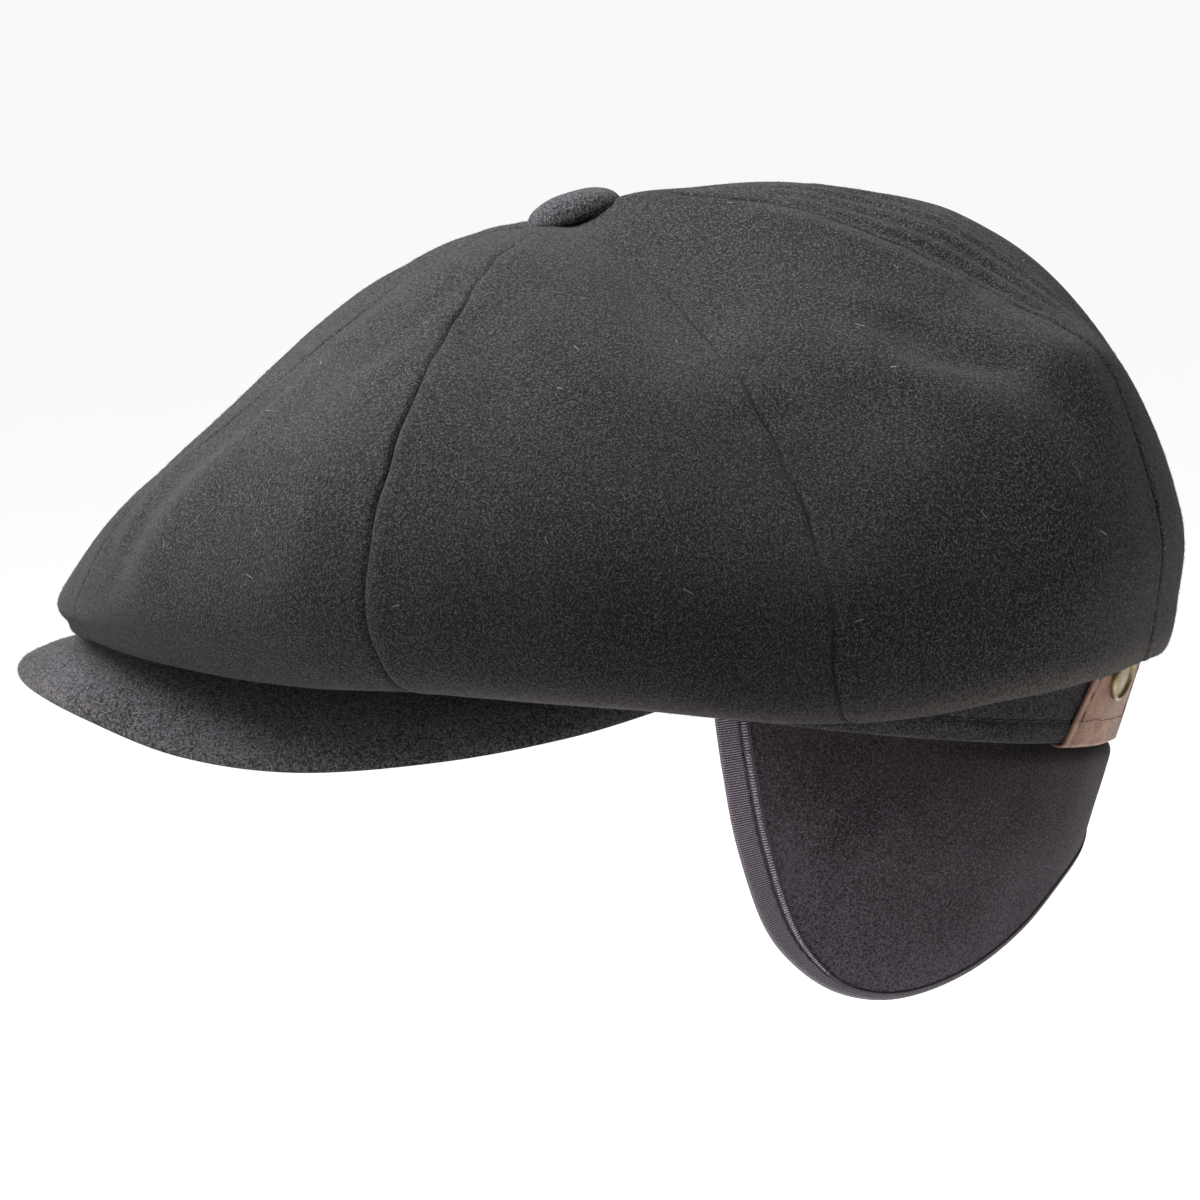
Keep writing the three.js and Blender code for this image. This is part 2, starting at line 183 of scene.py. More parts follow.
def stitchPiece(name, paths, outs, thread, depth):
    # a stitch lies along each path of points: a flattened tube of the thread's radius, plump in the
    # middle, its ends sinking into the cloth by the cube of the distance from there
    count, rings = paths.shape[:2]
    sides = 6
    along = unit(np.gradient(paths, axis=1))
    outs = unit(outs - (outs * along).sum(-1, keepdims=True) * along)
    across = np.cross(along, outs)
    share = np.linspace(-1, 1, rings)
    plump = np.sqrt(np.clip(1 - share**4 * 0.8, 0.05, 1))[None, :, None, None]
    turn = (np.arange(sides) * 2 * np.pi / sides)[None, None, :, None]
    middle = paths - outs * (depth * np.abs(share) ** 3)[None, :, None]
    around = np.cos(turn) * across[:, :, None] + 0.75 * np.sin(turn) * outs[:, :, None]
    points = middle[:, :, None] + thread * plump * around
    return makeMesh(name, points.reshape(-1, 3), tubeFaces(count, rings, sides))


def stitchRow(path, outs, length, pitch, start=0.5):
    # cuts a path of points into stitches of one length, evenly pitched, and reads the outs along it
    walked = walkedAlong(path)
    starts = np.arange(start, walked[-1] - length, pitch)
    at = starts[:, None] + np.linspace(0, length, 6)[None]
    read = lambda values: np.stack([np.interp(at, walked, values[:, k]) for k in range(3)], -1)
    return read(path), read(outs)


# The form round the head, shared by every piece: an egg-shaped oval and a band that flares a little.
head = dict(halfLength=98, halfWidth=79, egg=0.03, tilt=7.5)
band = dict(wall=2.2, height=23, flare=0.16, frontLift=2.4)
slope = math.tan(head["tilt"] * degree)


def headOval(angle, out):
    # an ellipse round the head, `out` from the band's inner face, a little wider behind than before
    s, c = np.sin(angle * degree), np.cos(angle * degree)
    across = (head["halfWidth"] + out) * s * (1 - head["egg"] * c)
    return np.stack([across, -(head["halfLength"] + out) * c], -1)


def headOut(angle):
    # straight out of the oval, level
    s, c = np.sin(angle * degree) / head["halfWidth"], np.cos(angle * degree) / head["halfLength"]
    return unit(np.stack([s, -c, 0 * s], -1))


def edgeHeight(angle, y):
    # the band's lower edge slopes down to the back and is lifted over the peak
    return -y * slope + band["frontLift"] * np.maximum(np.cos(angle * degree), 0) ** 2


def bandPoint(angle, up, out):
    # a point `up` from the band's lower edge and `out` from its inner face
    angle, up, out = np.broadcast_arrays(np.asarray(angle, float), up, out)
    plan = headOval(angle, out)
    upright = np.array([0, math.sin(head["tilt"] * degree), math.cos(head["tilt"] * degree)])
    rise = upright + headOut(angle) * band["flare"]
    foot = np.concatenate([plan, edgeHeight(angle, plan[..., 1])[..., None]], -1)
    return foot + rise * up[..., None]


class Wire:
    # one output socket of a material, so that what varies over a surface is written as a sum

    def __init__(self, tree, socket):
        self.tree, self.socket = tree, socket

    def node(self, kind, settings=None, inputs=None, output=0):
        # adds any node: its settings first, then the values or links of its sockets
        node = self.tree.nodes.new(kind)
        for key, value in (settings or {}).items():
            setattr(node, key, value)
        for key, value in (inputs or {}).items():
            if isinstance(value, Wire):
                self.tree.links.new(value.socket, node.inputs[key])
            else:
                node.inputs[key].default_value = value
        return Wire(self.tree, node.outputs[output])

    def maths(self, operation, first, second=0.0):
        return self.node("ShaderNodeMath", {"operation": operation}, {0: first, 1: second})

    def __add__(self, other):
        return self.maths("ADD", self, other)

    def __radd__(self, other):
        return self.maths("ADD", other, self)

    def __sub__(self, other):
        return self.maths("SUBTRACT", self, other)

    def __rsub__(self, other):
        return self.maths("SUBTRACT", other, self)

    def __mul__(self, other):
        return self.maths("MULTIPLY", self, other)

    def __rmul__(self, other):
        return self.maths("MULTIPLY", other, self)

    def noise(self, scale, detail=2.0, roughness=0.5, distortion=0.0):
        # this wire is a place; the result runs from about 0.3 to 0.7 round 0.5
        sockets = {"Vector": self, "Scale": scale, "Detail": detail}
        sockets.update({"Roughness": roughness, "Distortion": distortion})
        return self.node("ShaderNodeTexNoise", None, sockets)

    def rise(self, start, end):
        # 0 below start, 1 above end
        sockets = {"Value": self, "From Min": start, "From Max": end}
        return self.node("ShaderNodeMapRange", {"interpolation_type": "SMOOTHSTEP"}, sockets)

    def blend(self, low, high):
        # this wire mixes two colours
        low, high = (value if isinstance(value, Wire) else (*value, 1) for value in (low, high))
        return self.node("ShaderNodeMix", {"data_type": "RGBA"}, {0: self, 6: low, 7: high}, 2)

    def turned(self, turn, scale):
        return self.node("ShaderNodeMapping", None, {"Vector": self, "Rotation": turn, "Scale": scale})

    def beside(self, output):
        # another output of the same node
        return Wire(self.tree, self.socket.node.outputs[output])

    def parts(self):
        x = self.node("ShaderNodeSeparateXYZ", None, {0: self})
        return x, x.beside(1), x.beside(2)


def tone(red, green, blue):
    # a colour as the eye names it, 0 to 255, made linear
    curve = lambda v: ((v + 0.055) / 1.055) ** 2.4 if v > 0.04 else v / 12.92
    return tuple(curve(v / 255) for v in (red, green, blue))


def newMaterial(name, fixed):
    # an empty material with its constants set on the shader, and the places its patterns read
    material = bpy.data.materials.new(name)
    material.use_nodes = True
    tree = material.node_tree
    shader = tree.nodes["Principled BSDF"]
    for key, value in fixed.items():
        shader.inputs[key].default_value = value
    places = tree.nodes.new("ShaderNodeTexCoord")
    return material, shader, Wire(tree, places.outputs["Object"]), Wire(tree, places.outputs["UV"])


def feed(shader, **wires):
    # links each wire to the shader's socket of that name
    names = dict(color="Base Color", roughness="Roughness", normal="Normal")
    for key, wire in wires.items():
        wire.tree.links.new(wire.socket, shader.inputs[names[key]])


def attribute(wire, name):
    return wire.node("ShaderNodeAttribute", {"attribute_name": name}, None, 2)


def bump(wire, height, strength, distance):
    return wire.node("ShaderNodeBump", None, {"Height": height, "Strength": strength, "Distance": distance})


# Noise scales are in waves to the metre, cells of the fibre patterns in millimetres.
wool = dict(
    dark=tone(2, 2, 2), mid=tone(25, 24, 26), warm=tone(29, 26, 25), fibre=tone(76, 74, 77),
    lint=tone(120, 118, 116), worn=tone(58, 51, 47), valley=tone(2, 2, 2), sheen=0.03,
    sheenTint=(0.87, 0.85, 0.85, 1), grain=3400, tufts=1450, lumps=560, clouds=32, warmth=13,
    fibreCell=0.85, lintCell=21.0, relief=0.5,
)


def fibres(flat, cell, long, thick, turn):
    # one short bent mark at its own slant in each cell of a scattered 2-D pattern: 1 on it, else 0;
    # cell in mm, half length and half thickness as shares of it
    spots = flat.turned((0, 0, turn), (1 / (cell * mm),) * 3)
    flatKind = {"voronoi_dimensions": "2D"}
    near = spots.node("ShaderNodeTexVoronoi", flatKind, {"Vector": spots, "Scale": 1.0}, 2)
    slant, bend, present = near.beside(1).parts()
    x, y, _ = near.node("ShaderNodeVectorMath", {"operation": "SUBTRACT"}, {0: spots, 1: near}).parts()
    slant = slant * (2 * math.pi)
    cosine, sine = slant.maths("COSINE", slant), slant.maths("SINE", slant)
    along = x * cosine + y * sine
    aside = y * cosine - x * sine + along * along * (bend - 0.5) * 2.4
    line = along.maths("ABSOLUTE", aside).rise(thick, thick * 0.3)
    return line * (along.maths("ABSOLUTE", along) * (0.7 + bend)).rise(long, long * 0.6), present


def fibreMarks(flat, cell):
    # three scattered layers of marks of different sizes laid over one another
    first, _ = fibres(flat, cell, 0.46, 0.09, 0.3)
    second, _ = fibres(flat, cell * 1.37, 0.46, 0.07, 1.1)
    third, _ = fibres(flat, cell * 0.77, 0.42, 0.1, 2.2)
    return first.maths("MAXIMUM", first.maths("MAXIMUM", first, second), third)


def clothPatterns(place, flat, cloth):
    # fine grain, tufts, broad clouds and the marks of single fibres
    grain, tufts = place.noise(cloth["grain"], 2, 0.7), place.noise(cloth["tufts"], 2, 0.6, 0.4)
    return grain, tufts, place.noise(cloth["clouds"], 2, 0.5), fibreMarks(flat, cloth["fibreCell"])


def woolMaterial(name, lift=1.0, warmth=0.45, fuzz=0.95):
    # lift brightens the cloth's own tones, which on the button and the peak is painted light: brighter copies
    # of the same wool; warmth is how much of it leans to brown and fuzz how much the fibres show
    own = {key: tuple(v * lift for v in wool[key]) for key in ("dark", "mid", "warm")}
    own["fibre"] = tuple(v * math.sqrt(lift) for v in wool["fibre"])
    fixed = {
        "Roughness": 0.95, "Specular IOR Level": 0.1, "Sheen Weight": wool["sheen"],
        "Sheen Roughness": 0.4, "Sheen Tint": wool["sheenTint"],
    }
    material, shader, place, flat = newMaterial(name, fixed)
    grain, tufts, clouds, marks = clothPatterns(place, flat, wool)
    lumps = place.noise(wool["lumps"], 1, 0.5)
    depth = 0.42 * grain + 0.36 * tufts + 0.12 * lumps + 0.14 * clouds
    brown = place.noise(wool["warmth"], 1, 0.5).rise(0.42, 0.66) * warmth
    mid = brown.blend(own["mid"], own["warm"])
    base = depth.rise(0.45, 0.6).blend(own["dark"], mid)
    base = (marks * tufts.rise(0.36, 0.58) * fuzz).blend(base, own["fibre"])
    loose, present = fibres(flat, wool["lintCell"], 0.05, 0.0046, 0.7)
    base = (loose * present.rise(0.45, 0.9)).blend(base, wool["lint"])
    # The worn tone is wear on the peak's edge and, along the crown's lower edge, partly wear and partly a
    # painted highlight. The last blend is painted shade: the seams' valleys, steep crown faces and the band
    # beside and under the tab are darkened towards near-black.
    base = (attribute(place, "worn") * tufts.rise(0.3, 0.65)).blend(base, wool["worn"])
    base = attribute(place, "valley").blend(base, wool["valley"])
    relief = 0.4 * grain + 0.6 * tufts + 0.3 * marks
    feed(shader, color=base, normal=bump(place, relief, 1.0, wool["relief"] * mm))
    return material


felt = dict(
    dark=tone(6, 4, 6), light=tone(43, 37, 41), fibre=tone(78, 70, 77), edge=tone(62, 54, 60),
    grain=3600, tufts=1600, clouds=44, fibreCell=0.8, relief=0.4,
)


def feltMaterial():
    fixed = {
        "Roughness": 0.97, "Specular IOR Level": 0.08, "Sheen Weight": 0.04,
        "Sheen Roughness": 0.5, "Sheen Tint": (0.88, 0.82, 0.9, 1),
    }
    material, shader, place, flat = newMaterial("felt", fixed)
    grain, tufts, clouds, marks = clothPatterns(place, flat, felt)
    depth = 0.42 * grain + 0.36 * tufts + 0.24 * clouds
    base = depth.rise(0.4, 0.64).blend(felt["dark"], felt["light"])
    base = (marks * tufts.rise(0.35, 0.62) * 0.75).blend(base, felt["fibre"])
    base = (attribute(place, "worn") * tufts.rise(0.3, 0.6)).blend(base, felt["edge"])
    # dusk is painted shade at the top of the flap, under the band
    base = attribute(place, "dusk").blend(base, felt["dark"])
    relief = 0.4 * grain + 0.5 * tufts + 0.3 * marks
    feed(shader, color=base, normal=bump(place, relief, 0.7, felt["relief"] * mm))
    return material


ribbon = dict(
    dark=tone(20, 16, 20), light=tone(98, 86, 98), glint=tone(140, 128, 144), rib=0.58, warp=0.6,
    wander=260, fuzz=1900, relief=0.3,
)


def ribbonMaterial():
    # ribs run square to the tape's length; u runs along the tape and v across it, in metres
    fixed = {"Specular IOR Level": 0.3, "Sheen Weight": 0.05}
    material, shader, place, flat = newMaterial("ribbon", fixed)
    length, across, _ = flat.parts()
    wander = place.noise(ribbon["wander"], 2, 0.5) * 1.4
    wave = lambda way, pitch: way.maths("SINE", way * (2 * math.pi / (pitch * mm)) + wander) * 0.5 + 0.5
    weave = wave(length, ribbon["rib"]) * (0.55 + 0.45 * wave(across, ribbon["warp"]))
    fuzz = place.noise(ribbon["fuzz"], 2, 0.6)
    base = (weave * 0.8 + fuzz * 0.5 - 0.16).rise(0.12, 0.8).blend(ribbon["dark"], ribbon["light"])
    base = ((weave * fuzz).rise(0.46, 0.6) * 0.7).blend(base, ribbon["glint"])
    base = attribute(place, "shade").blend(base, ribbon["dark"])
    relief = bump(place, weave + fuzz * 0.4, 0.9, ribbon["relief"] * mm)
    feed(shader, color=base, roughness=0.72 + 0.2 * fuzz, normal=relief)
    return material


leather = dict(
    dark=tone(72, 47, 34), mid=tone(101, 70, 50), light=tone(122, 87, 62), edge=tone(52, 34, 27),
    pebbles=1250, pores=2600, clouds=160, relief=0.2,
)


def leatherMaterial():
    fixed = {"Specular IOR Level": 0.35}
    material, shader, place, _ = newMaterial("leather", fixed)
    sockets = {"Vector": place, "Scale": leather["pebbles"]}
    pebbles = place.node("ShaderNodeTexVoronoi", {"feature": "DISTANCE_TO_EDGE"}, sockets)
    pores = place.noise(leather["pores"], 2, 0.6)
    clouds = place.noise(leather["clouds"], 3, 0.6)
    creases = pebbles.rise(0.0, 0.16)
    base = clouds.rise(0.3, 0.7).blend(leather["dark"], leather["mid"])
    base = (pores * creases).rise(0.42, 0.7).blend(base, leather["light"])
    base = attribute(place, "worn").blend(base, leather["edge"])
    relief = bump(place, creases + pores * 0.5, 0.5, leather["relief"] * mm)
    feed(shader, color=base, roughness=0.72 - 0.22 * clouds, normal=relief)
    return material


brass = dict(
    bright=tone(122, 110, 86), dull=tone(92, 81, 60), dirt=tone(50, 43, 31), patina=420,
    brushed=(9000, 700, 700), relief=0.08,
)


def brassMaterial():
    fixed = {"Metallic": 1.0, "Anisotropic": 0.2}
    material, shader, place, _ = newMaterial("brass", fixed)
    patina = place.noise(brass["patina"], 3, 0.6)
    scratch = place.turned((0.2, 0.1, 0.9), brass["brushed"]).noise(1.0, 2, 0.5)
    base = patina.rise(0.32, 0.66).blend(brass["dull"], brass["bright"])
    base = attribute(place, "worn").blend(base, brass["dirt"])
    relief = bump(place, scratch + patina, 0.25, brass["relief"] * mm)
    feed(shader, color=base, roughness=0.26 + 0.3 * patina, normal=relief)
    return material


def threadMaterial(name, low, high):
    fixed = {"Specular IOR Level": 0.3}
    material, shader, place, _ = newMaterial(name, fixed)
    ply = place.noise(2600, 2, 0.5)
    base = ply.rise(0.3, 0.7).blend(low, high)
    feed(shader, color=base, roughness=0.6 + 0.3 * ply, normal=bump(place, ply, 0.5, 0.2 * mm))
    return material


def finished(piece, material, slot, *replaced):
    # gives a piece its material, its place on the one body and the nodes that it stands for
    piece.data.materials.append(material)
    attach(piece, "root")
    if replaced:
        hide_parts(*replaced)
    return piece


def sewnSheet(front, parts=()):
    # the cross product of the diagonals of each cell of the cloth's face, which is neither kept nor returned
    cells = np.cross(front[1:, 1:] - front[:-1, :-1], front[:-1, 1:] - front[1:, :-1])


woolCloth = woolMaterial("wool")
print("materials: wool ready")

# The camera stands at the wearer's left, 6 degrees above the band's level.
camera = dict(elevation=6.0, distance=1600.0, frameWidth=294.0, aimRight=-25.7, aimUp=18.6, sensor=36.0)


def makeCamera():
    rise = camera["elevation"] * degree
    right, up = Vector((0, 1, 0)), Vector((-math.sin(rise), 0, math.cos(rise)))
    back = right.cross(up)
    aim = right * camera["aimRight"] + up * camera["aimUp"]
    data = bpy.data.cameras.new("camera")
    data.sensor_width = camera["sensor"]
    data.lens = camera["sensor"] * camera["distance"] / camera["frameWidth"]
    data.clip_start, data.clip_end = 0.05, 200
    eye = bpy.data.objects.new("camera", data)
    turn = Matrix((right, up, back)).transposed().to_4x4()
    eye.matrix_world = Matrix.Translation((aim + back * camera["distance"]) * mm) @ turn
    bpy.context.scene.collection.objects.link(eye)
    bpy.context.scene.camera = eye


makeCamera()

crown = dict(
    wall=1.9, step=45, columns=61, rows=150, firstPlace=0.5, bow=5, turnIn=0.22, turnUp=0.32, sag=1,
    frontSag=2.5, seatGap=-0.6, gap=0.03, lap=0.12,
)
hub = dict(y=-32, z=111.2)
rim = dict(centreY=-21, halfLength=137.5, halfWidth=121, pull=2)
shares = np.array([0, 0.12, 0.4, 0.7, 0.9, 1])  # how far out each height of a section is taken
clothLength = np.array([0, 16, 54, 96, 129, 150, 167, 181, 195, 209])  # from the button to each place
lastPlace = 9.0

# The outer face, one row every 22.5 degrees from the front to the back, mirrored on the right:
# heights at 12, 40, 70 and 90 % of the way out and at the rim, the height of the turned under edge,
# how far in from the rim it lies, and how far the rim stands out of its oval.
sections = np.array([
    [110, 95.6, 62.2, 38.2, 22, 12.8, 6, -1.5],
    [110, 94.6, 65.4, 44, 24, 13, 8, 1],
    [110.5, 101.5, 75, 53.5, 30, 9.2, 12, 2],
    [111, 104, 82.5, 60.5, 35, 7.6, 15, 3],
    [110.6, 101.5, 81, 56.5, 32.5, 5.4, 14, 0.5],
    [111.8, 98.5, 78.5, 53, 31, 0.8, 11, 0],
    [115, 105.5, 86, 67, 37, 6, 8.5, 5],
    [118, 115.2, 98, 80.5, 43, 9, 5, 1.8],
    [117.5, 120.6, 108.3, 77.4, 42, 8.8, 3, -0.9],
])

# Dents (height below 0) and rolls (above 0): both ends as angle and place, half width, height.
folds = np.array([
    [33, 2.2, 30, 4.6, 9, -1.6],
    [44, 2.6, 38, 4.6, 9, 1.2],
    [61, 3.1, 60, 4.9, 8, 0.9],
    [77, 2.4, 75, 4.1, 9, -0.8],
    [140, 3.0, 146, 4.0, 10, -2.3],
    [118, 3.6, 131, 4.9, 17, -1.6],
    [150, 3.8, 160, 4.0, 10, 1.4],
    [152, 2.0, 153, 4.1, 7, 0.8],
    [176, 2.6, 172, 4.1, 8, -1.7],
    [180, 2.6, 168, 2.65, 11, 1.6],
    [-14, 1.2, 30, 1.25, 8, 1.2],
    [121, 2.6, 134, 3.1, 10, 1.0],
    [40, 0.95, 75, 0.95, 7, -1.1],
    [127, 3.5, 134, 4.1, 11, -1.9],
    [94, 4.8, 106, 4.8, 15, -0.9],
    [-32, 2.5, -33, 4.6, 9, -1.3],
    [-43, 2.8, -41, 4.6, 9, 1.1],
    [-116, 2.5, -125, 3.4, 10, 0.9],
    [-139, 3.4, -147, 4.2, 12, -1.9],
    [-154, 2.2, -153, 4.1, 8, 1.0],
    [-88, 4.8, -103, 4.8, 15, -0.9],
])

# The finer creases and puckers that only show close up.
creases = np.array([
    [109, 3.15, 116, 3.0, 4.2, 0.3],
    [108.5, 3.35, 117, 3.3, 3.6, -0.3],
    [64, 2.2, 57, 2.9, 4, -0.5],
    [71, 2.6, 79, 3.3, 4, -0.6],
    [160, 2.2, 159, 3.4, 1.7, -0.45],
    [162, 1.9, 161, 3.6, 1.8, 0.5],
    [165, 2.3, 162.5, 3.5, 1.6, -0.5],
    [167, 1.8, 164, 3.4, 1.8, 0.45],
    [170, 2.1, 166, 3.7, 1.6, -0.5],
    [172, 1.8, 168, 3.5, 1.8, 0.5],
    [175, 2.2, 170, 3.8, 1.6, -0.45],
    [178, 2.0, 172, 3.6, 1.8, 0.4],
    [151, 1.8, 155, 2.9, 2.8, 0.6],
    [138, 2.6, 147, 3.2, 5, 0.8],
    [135, 3.1, 145, 3.6, 4, -0.8],
    [24, 3.4, 29, 4.7, 4, 0.7],
    [13, 3.0, 8, 4.6, 6, -0.9],
    [-12, 2.8, -9, 4.5, 6, -0.8],
    [-59, 3.0, -63, 4.6, 5, 0.8],
    [-72, 2.6, -78, 3.8, 5, -0.8],
    [-108, 3.2, -117, 3.2, 5, 0.3],
    [-162, 2.4, -164, 3.8, 4, -0.9],
])
seam = dict(
    depth=0.75, halfWidth=0.7, swell=0.2, swellAt=2.8, swellWidth=1.8, puff=0.5, puffWidth=11,
    pucker=7.0, wander=0.38, byFront=0.75, byFrontLow=0.2,
    places=[0.4, 1.6, 2.6, 3.6, 5, 6.6], strength=[0.3, 0.5, 0.8, 1.1, 1.2, 1.1],
)
slack = dict(broad=42.0, broadHeight=0.42, fine=9.0, fineHeight=0.07)


def crownProfile(angle):
    # ten points of one section: button, four on the dome, rim, turn, lowest edge, underside, seat
    rows = np.vstack([sections[1], sections, sections[-2]])
    z12, z40, z70, z90, rimZ, lowZ, lowIn, rimOut = through(rows, np.abs(wrapped(angle)) / 22.5 + 1).T
    s, c = np.sin(angle * degree), np.cos(angle * degree)
    turned = (angle - rim["pull"] * s) * degree
    plan = np.stack([rim["halfWidth"] * np.sin(turned), -rim["halfLength"] * np.cos(turned)], -1)
    plan = plan + unit(plan) * rimOut[:, None] + [0, rim["centreY"]]
    bow = crown["bow"] * s * s * np.clip(0.4 - c, 0, 1) * (s > 0)
    heights = [hub["z"] + 0 * s, z12, z40, z70, z90, rimZ]
    dome = []
    for share, height in zip(shares, heights):
        bowed = np.stack([0 * s, bow * math.sin(math.pi * share)], -1)
        flat = mix(np.array([0, hub["y"]]), plan, share) - bowed
        dome.append(np.column_stack([flat, height]))
    seat = bandPoint(angle, band["height"] + crown["seatGap"], band["wall"] / 2)
    inward = unit(seat[:, :2] - plan) * lowIn[:, None]
    low = np.column_stack([plan + inward, lowZ])
    turn = mix(dome[5], low, crown["turnIn"])
    turn[:, 2] = mix(lowZ, rimZ, crown["turnUp"])
    under = mix(low, seat, 0.5)
    under[:, 2] -= crown["sag"] + crown["frontSag"] * np.clip(c, 0, 1)
    return np.stack([*dome, turn, low, under, seat])


def crownGrid(angles, places):
    # every angle at every place: columns × rows × 3
    return through(crownProfile(angles), np.clip(places, 0, lastPlace)).swapaxes(0, 1)


def foldHeight(table, angles, places, perDegree):
    # each row of the table is a bell curve of the distance from the line between its two ends
    walked = np.interp(places, np.arange(10), clothLength)
    height = np.zeros(perDegree.shape)
    for fromAngle, fromPlace, toAngle, toPlace, halfWidth, rise in table:
        fromLength, toLength = np.interp([fromPlace, toPlace], np.arange(10), clothLength)
        x, y = wrapped(angles - fromAngle)[:, None] * perDegree, (walked - fromLength)[None]
        runX, runY = (toAngle - fromAngle) * perDegree, toLength - fromLength
        share = np.clip((x * runX + y * runY) / (runX**2 + runY**2), 0, 1)
        height += rise * bell(np.hypot(x - runX * share, y - runY * share), halfWidth)
    return height


def crownPanel(name, centre):
    # across a panel columns crowd towards its seams, where the cloth rolls down into the stitching
    first = centre - crown["step"] / 2
    even = np.linspace(0, 1, crown["columns"])
    across = even - 0.12 * np.sin(2 * np.pi * even)
    angles = first + crown["step"] * across
    startLength = np.interp(crown["firstPlace"], np.arange(10), clothLength)
    walked = np.linspace(startLength, clothLength[-1], crown["rows"])
    places = np.interp(walked, clothLength, np.arange(10))
    grid = crownGrid(angles, places)
    around = unit(crownGrid(angles + 0.4, places) - crownGrid(angles - 0.4, places))
    down = crownGrid(angles, places + 0.02) - crownGrid(angles, np.maximum(places - 0.02, 0.02))
    out = unit(np.cross(down, around))
    edges = crownGrid(np.array([first, first + crown["step"]]), places)
    width = np.linalg.norm(edges[1] - edges[0], axis=-1)[None]
    fromSeam = np.minimum(across, 1 - across)[:, None] * width
    perDegree = np.hypot(grid[..., 0], grid[..., 1] - hub["y"]) * degree
    near = np.clip(perDegree * 3, 0, 1)
    pucker = 1 + 0.6 * ripple(grid, seam["pucker"], 5)
    uneven = np.clip(0.8 + 0.4 * ripple(grid, 15, 6), 0.1, 1.3)
    drawn = np.interp(places, seam["places"], seam["strength"]) * uneven
    byFront = np.abs(wrapped(first + crown["step"] * np.round(even))) < 30
    fainter = mix(seam["byFront"], seam["byFrontLow"], step(places, 2.8, 4.4))[None]
    drawn = drawn * np.where(byFront[:, None], fainter, 1)
    swell = seam["swell"] * pucker * drawn * bell(fromSeam - seam["swellAt"], seam["swellWidth"])
    puff = seam["puff"] * np.clip(perDegree * 0.75, 0, 1) * bell(fromSeam, seam["puffWidth"])
    drop = seam["depth"] * drawn * bell(fromSeam, seam["halfWidth"]) + puff
    fade = np.clip(lastPlace - 1 - places, 0, 1)[None]
    height = foldHeight(folds, angles, places, perDegree) + foldHeight(creases, angles, places, perDegree)
    height = (height + near * (swell - drop)) * fade
    height += slack["broadHeight"] * ripple(grid, slack["broad"], 11) * near * fade
    height += slack["fineHeight"] * ripple(grid, slack["fine"], 12) * near
    side = (even == 0).astype(float) - (even == 1)
    wander = seam["wander"] * ripple(grid, 8, 7) * bell(fromSeam, 5)
    aside = (side * crown["gap"] / 2)[:, None] * drawn + wander
    grid = grid + around * aside[..., None]
    front = grid + out * height[..., None]
    back = grid + out * (height - crown["wall"])[..., None] - around * (side * crown["lap"])[:, None, None]
    uv = np.stack(np.broadcast_arrays((across[:, None] - 0.5) * width, walked[None]), -1)
    # a lighter, browner line along the crown's lower edge: partly wear, partly a painted highlight where the
    # turned edge catches the light
    wornAndLitEdge = bell(places - 6.75, 0.4)[None] * step(np.abs(wrapped(angles)), 55, 85)[:, None]
    # painted shade on faces that are steep and do not face the back, which get less light, and in the seams'
    # valleys
    paintedSideShade = (1 - step(out[..., 2], 0.25, 1)) * (1 - step(out[..., 1], 0.1, 0.7))
    valley = 0.95 * bell(fromSeam, 0.42) * near * np.minimum(drawn, 1) * (places < 7)
    shades = dict(valley=np.maximum(valley, 0.55 * paintedSideShade), worn=0.75 * wornAndLitEdge)
    piece = sheetPiece(name + "_cloth", front, back, uv=uv, shades=shades)
    finished(piece, woolCloth, "wool_melton", name)
    sewnSheet(front)
    return front


panelNames = ["front", "front_left", "left", "back_left", "back", "back_right", "right", "front_right"]
panelSkins = [crownPanel("crown_panel_" + name, k * crown["step"]) for k, name in enumerate(panelNames)]
print("crown: 8 panels")

# The button is a covered dome on its shank.
button = dict(tilt=17, sink=0.9, lift=3.2, shank=6, sides=96)


def buttonPiece():
    # a profile of radius and height, eased through a few points, turned about the leaning axis
    outline = np.array([
        [0, -button["shank"]], [1.4, -button["shank"]], [1.8, -4], [1.8, -1.6], [4, -1.4],
        [8, -1.9], [10.6, -2.2], [11.6, -1.5], [11.85, -0.3], [11.4, 1.2],
        [10.3, 2.6], [8.5, 3.7], [5.8, 4.6], [2.9, 5.0], [0, 5.1],
    ])
    profile = through(outline, np.linspace(0, len(outline) - 1, 85))[1:-1]
    turn = np.arange(button["sides"]) * 2 * np.pi / button["sides"]
    radius, height = profile.T[:, None]
    x, z = radius * np.cos(turn)[:, None], radius * np.sin(turn)[:, None]
    points = np.stack([x, height + 0 * x, z], -1)
    points[..., 1] += 0.14 * ripple(points, 6, 21) * (height > 1)
    walked = np.cumsum(np.linalg.norm(np.diff(profile, axis=0, append=outline[-1:]), axis=1)[::-1])[::-1]
    flat = np.stack([walked * np.cos(turn)[:, None], walked * np.sin(turn)[:, None]], -1).reshape(-1, 2)
    lean = (90 + button["tilt"]) * degree
    spin = np.array([[1, 0, 0], [0, math.cos(lean), -math.sin(lean)], [0, math.sin(lean), math.cos(lean)]])
    place = np.array([0, hub["y"], hub["z"] + button["lift"] - button["sink"]])
    ends = np.array([[0, outline[0, 1], 0], [0, outline[-1, 1] + 0.02, 0]])
    uv = np.concatenate([flat, 0 * ends[:, :2]])
    shades = dict(valley=0 * uv[:, 0], worn=0 * uv[:, 0])
    return turnedPiece("button_cover", points @ spin.T + place, ends @ spin.T + place, uv, shades)


# the button's wool is a 2.5 times brighter copy of the crown's: painted light
finished(buttonPiece(), woolMaterial("buttonWoolPaintedLight", 2.5), "wool_melton", "crown_button")
print("button")

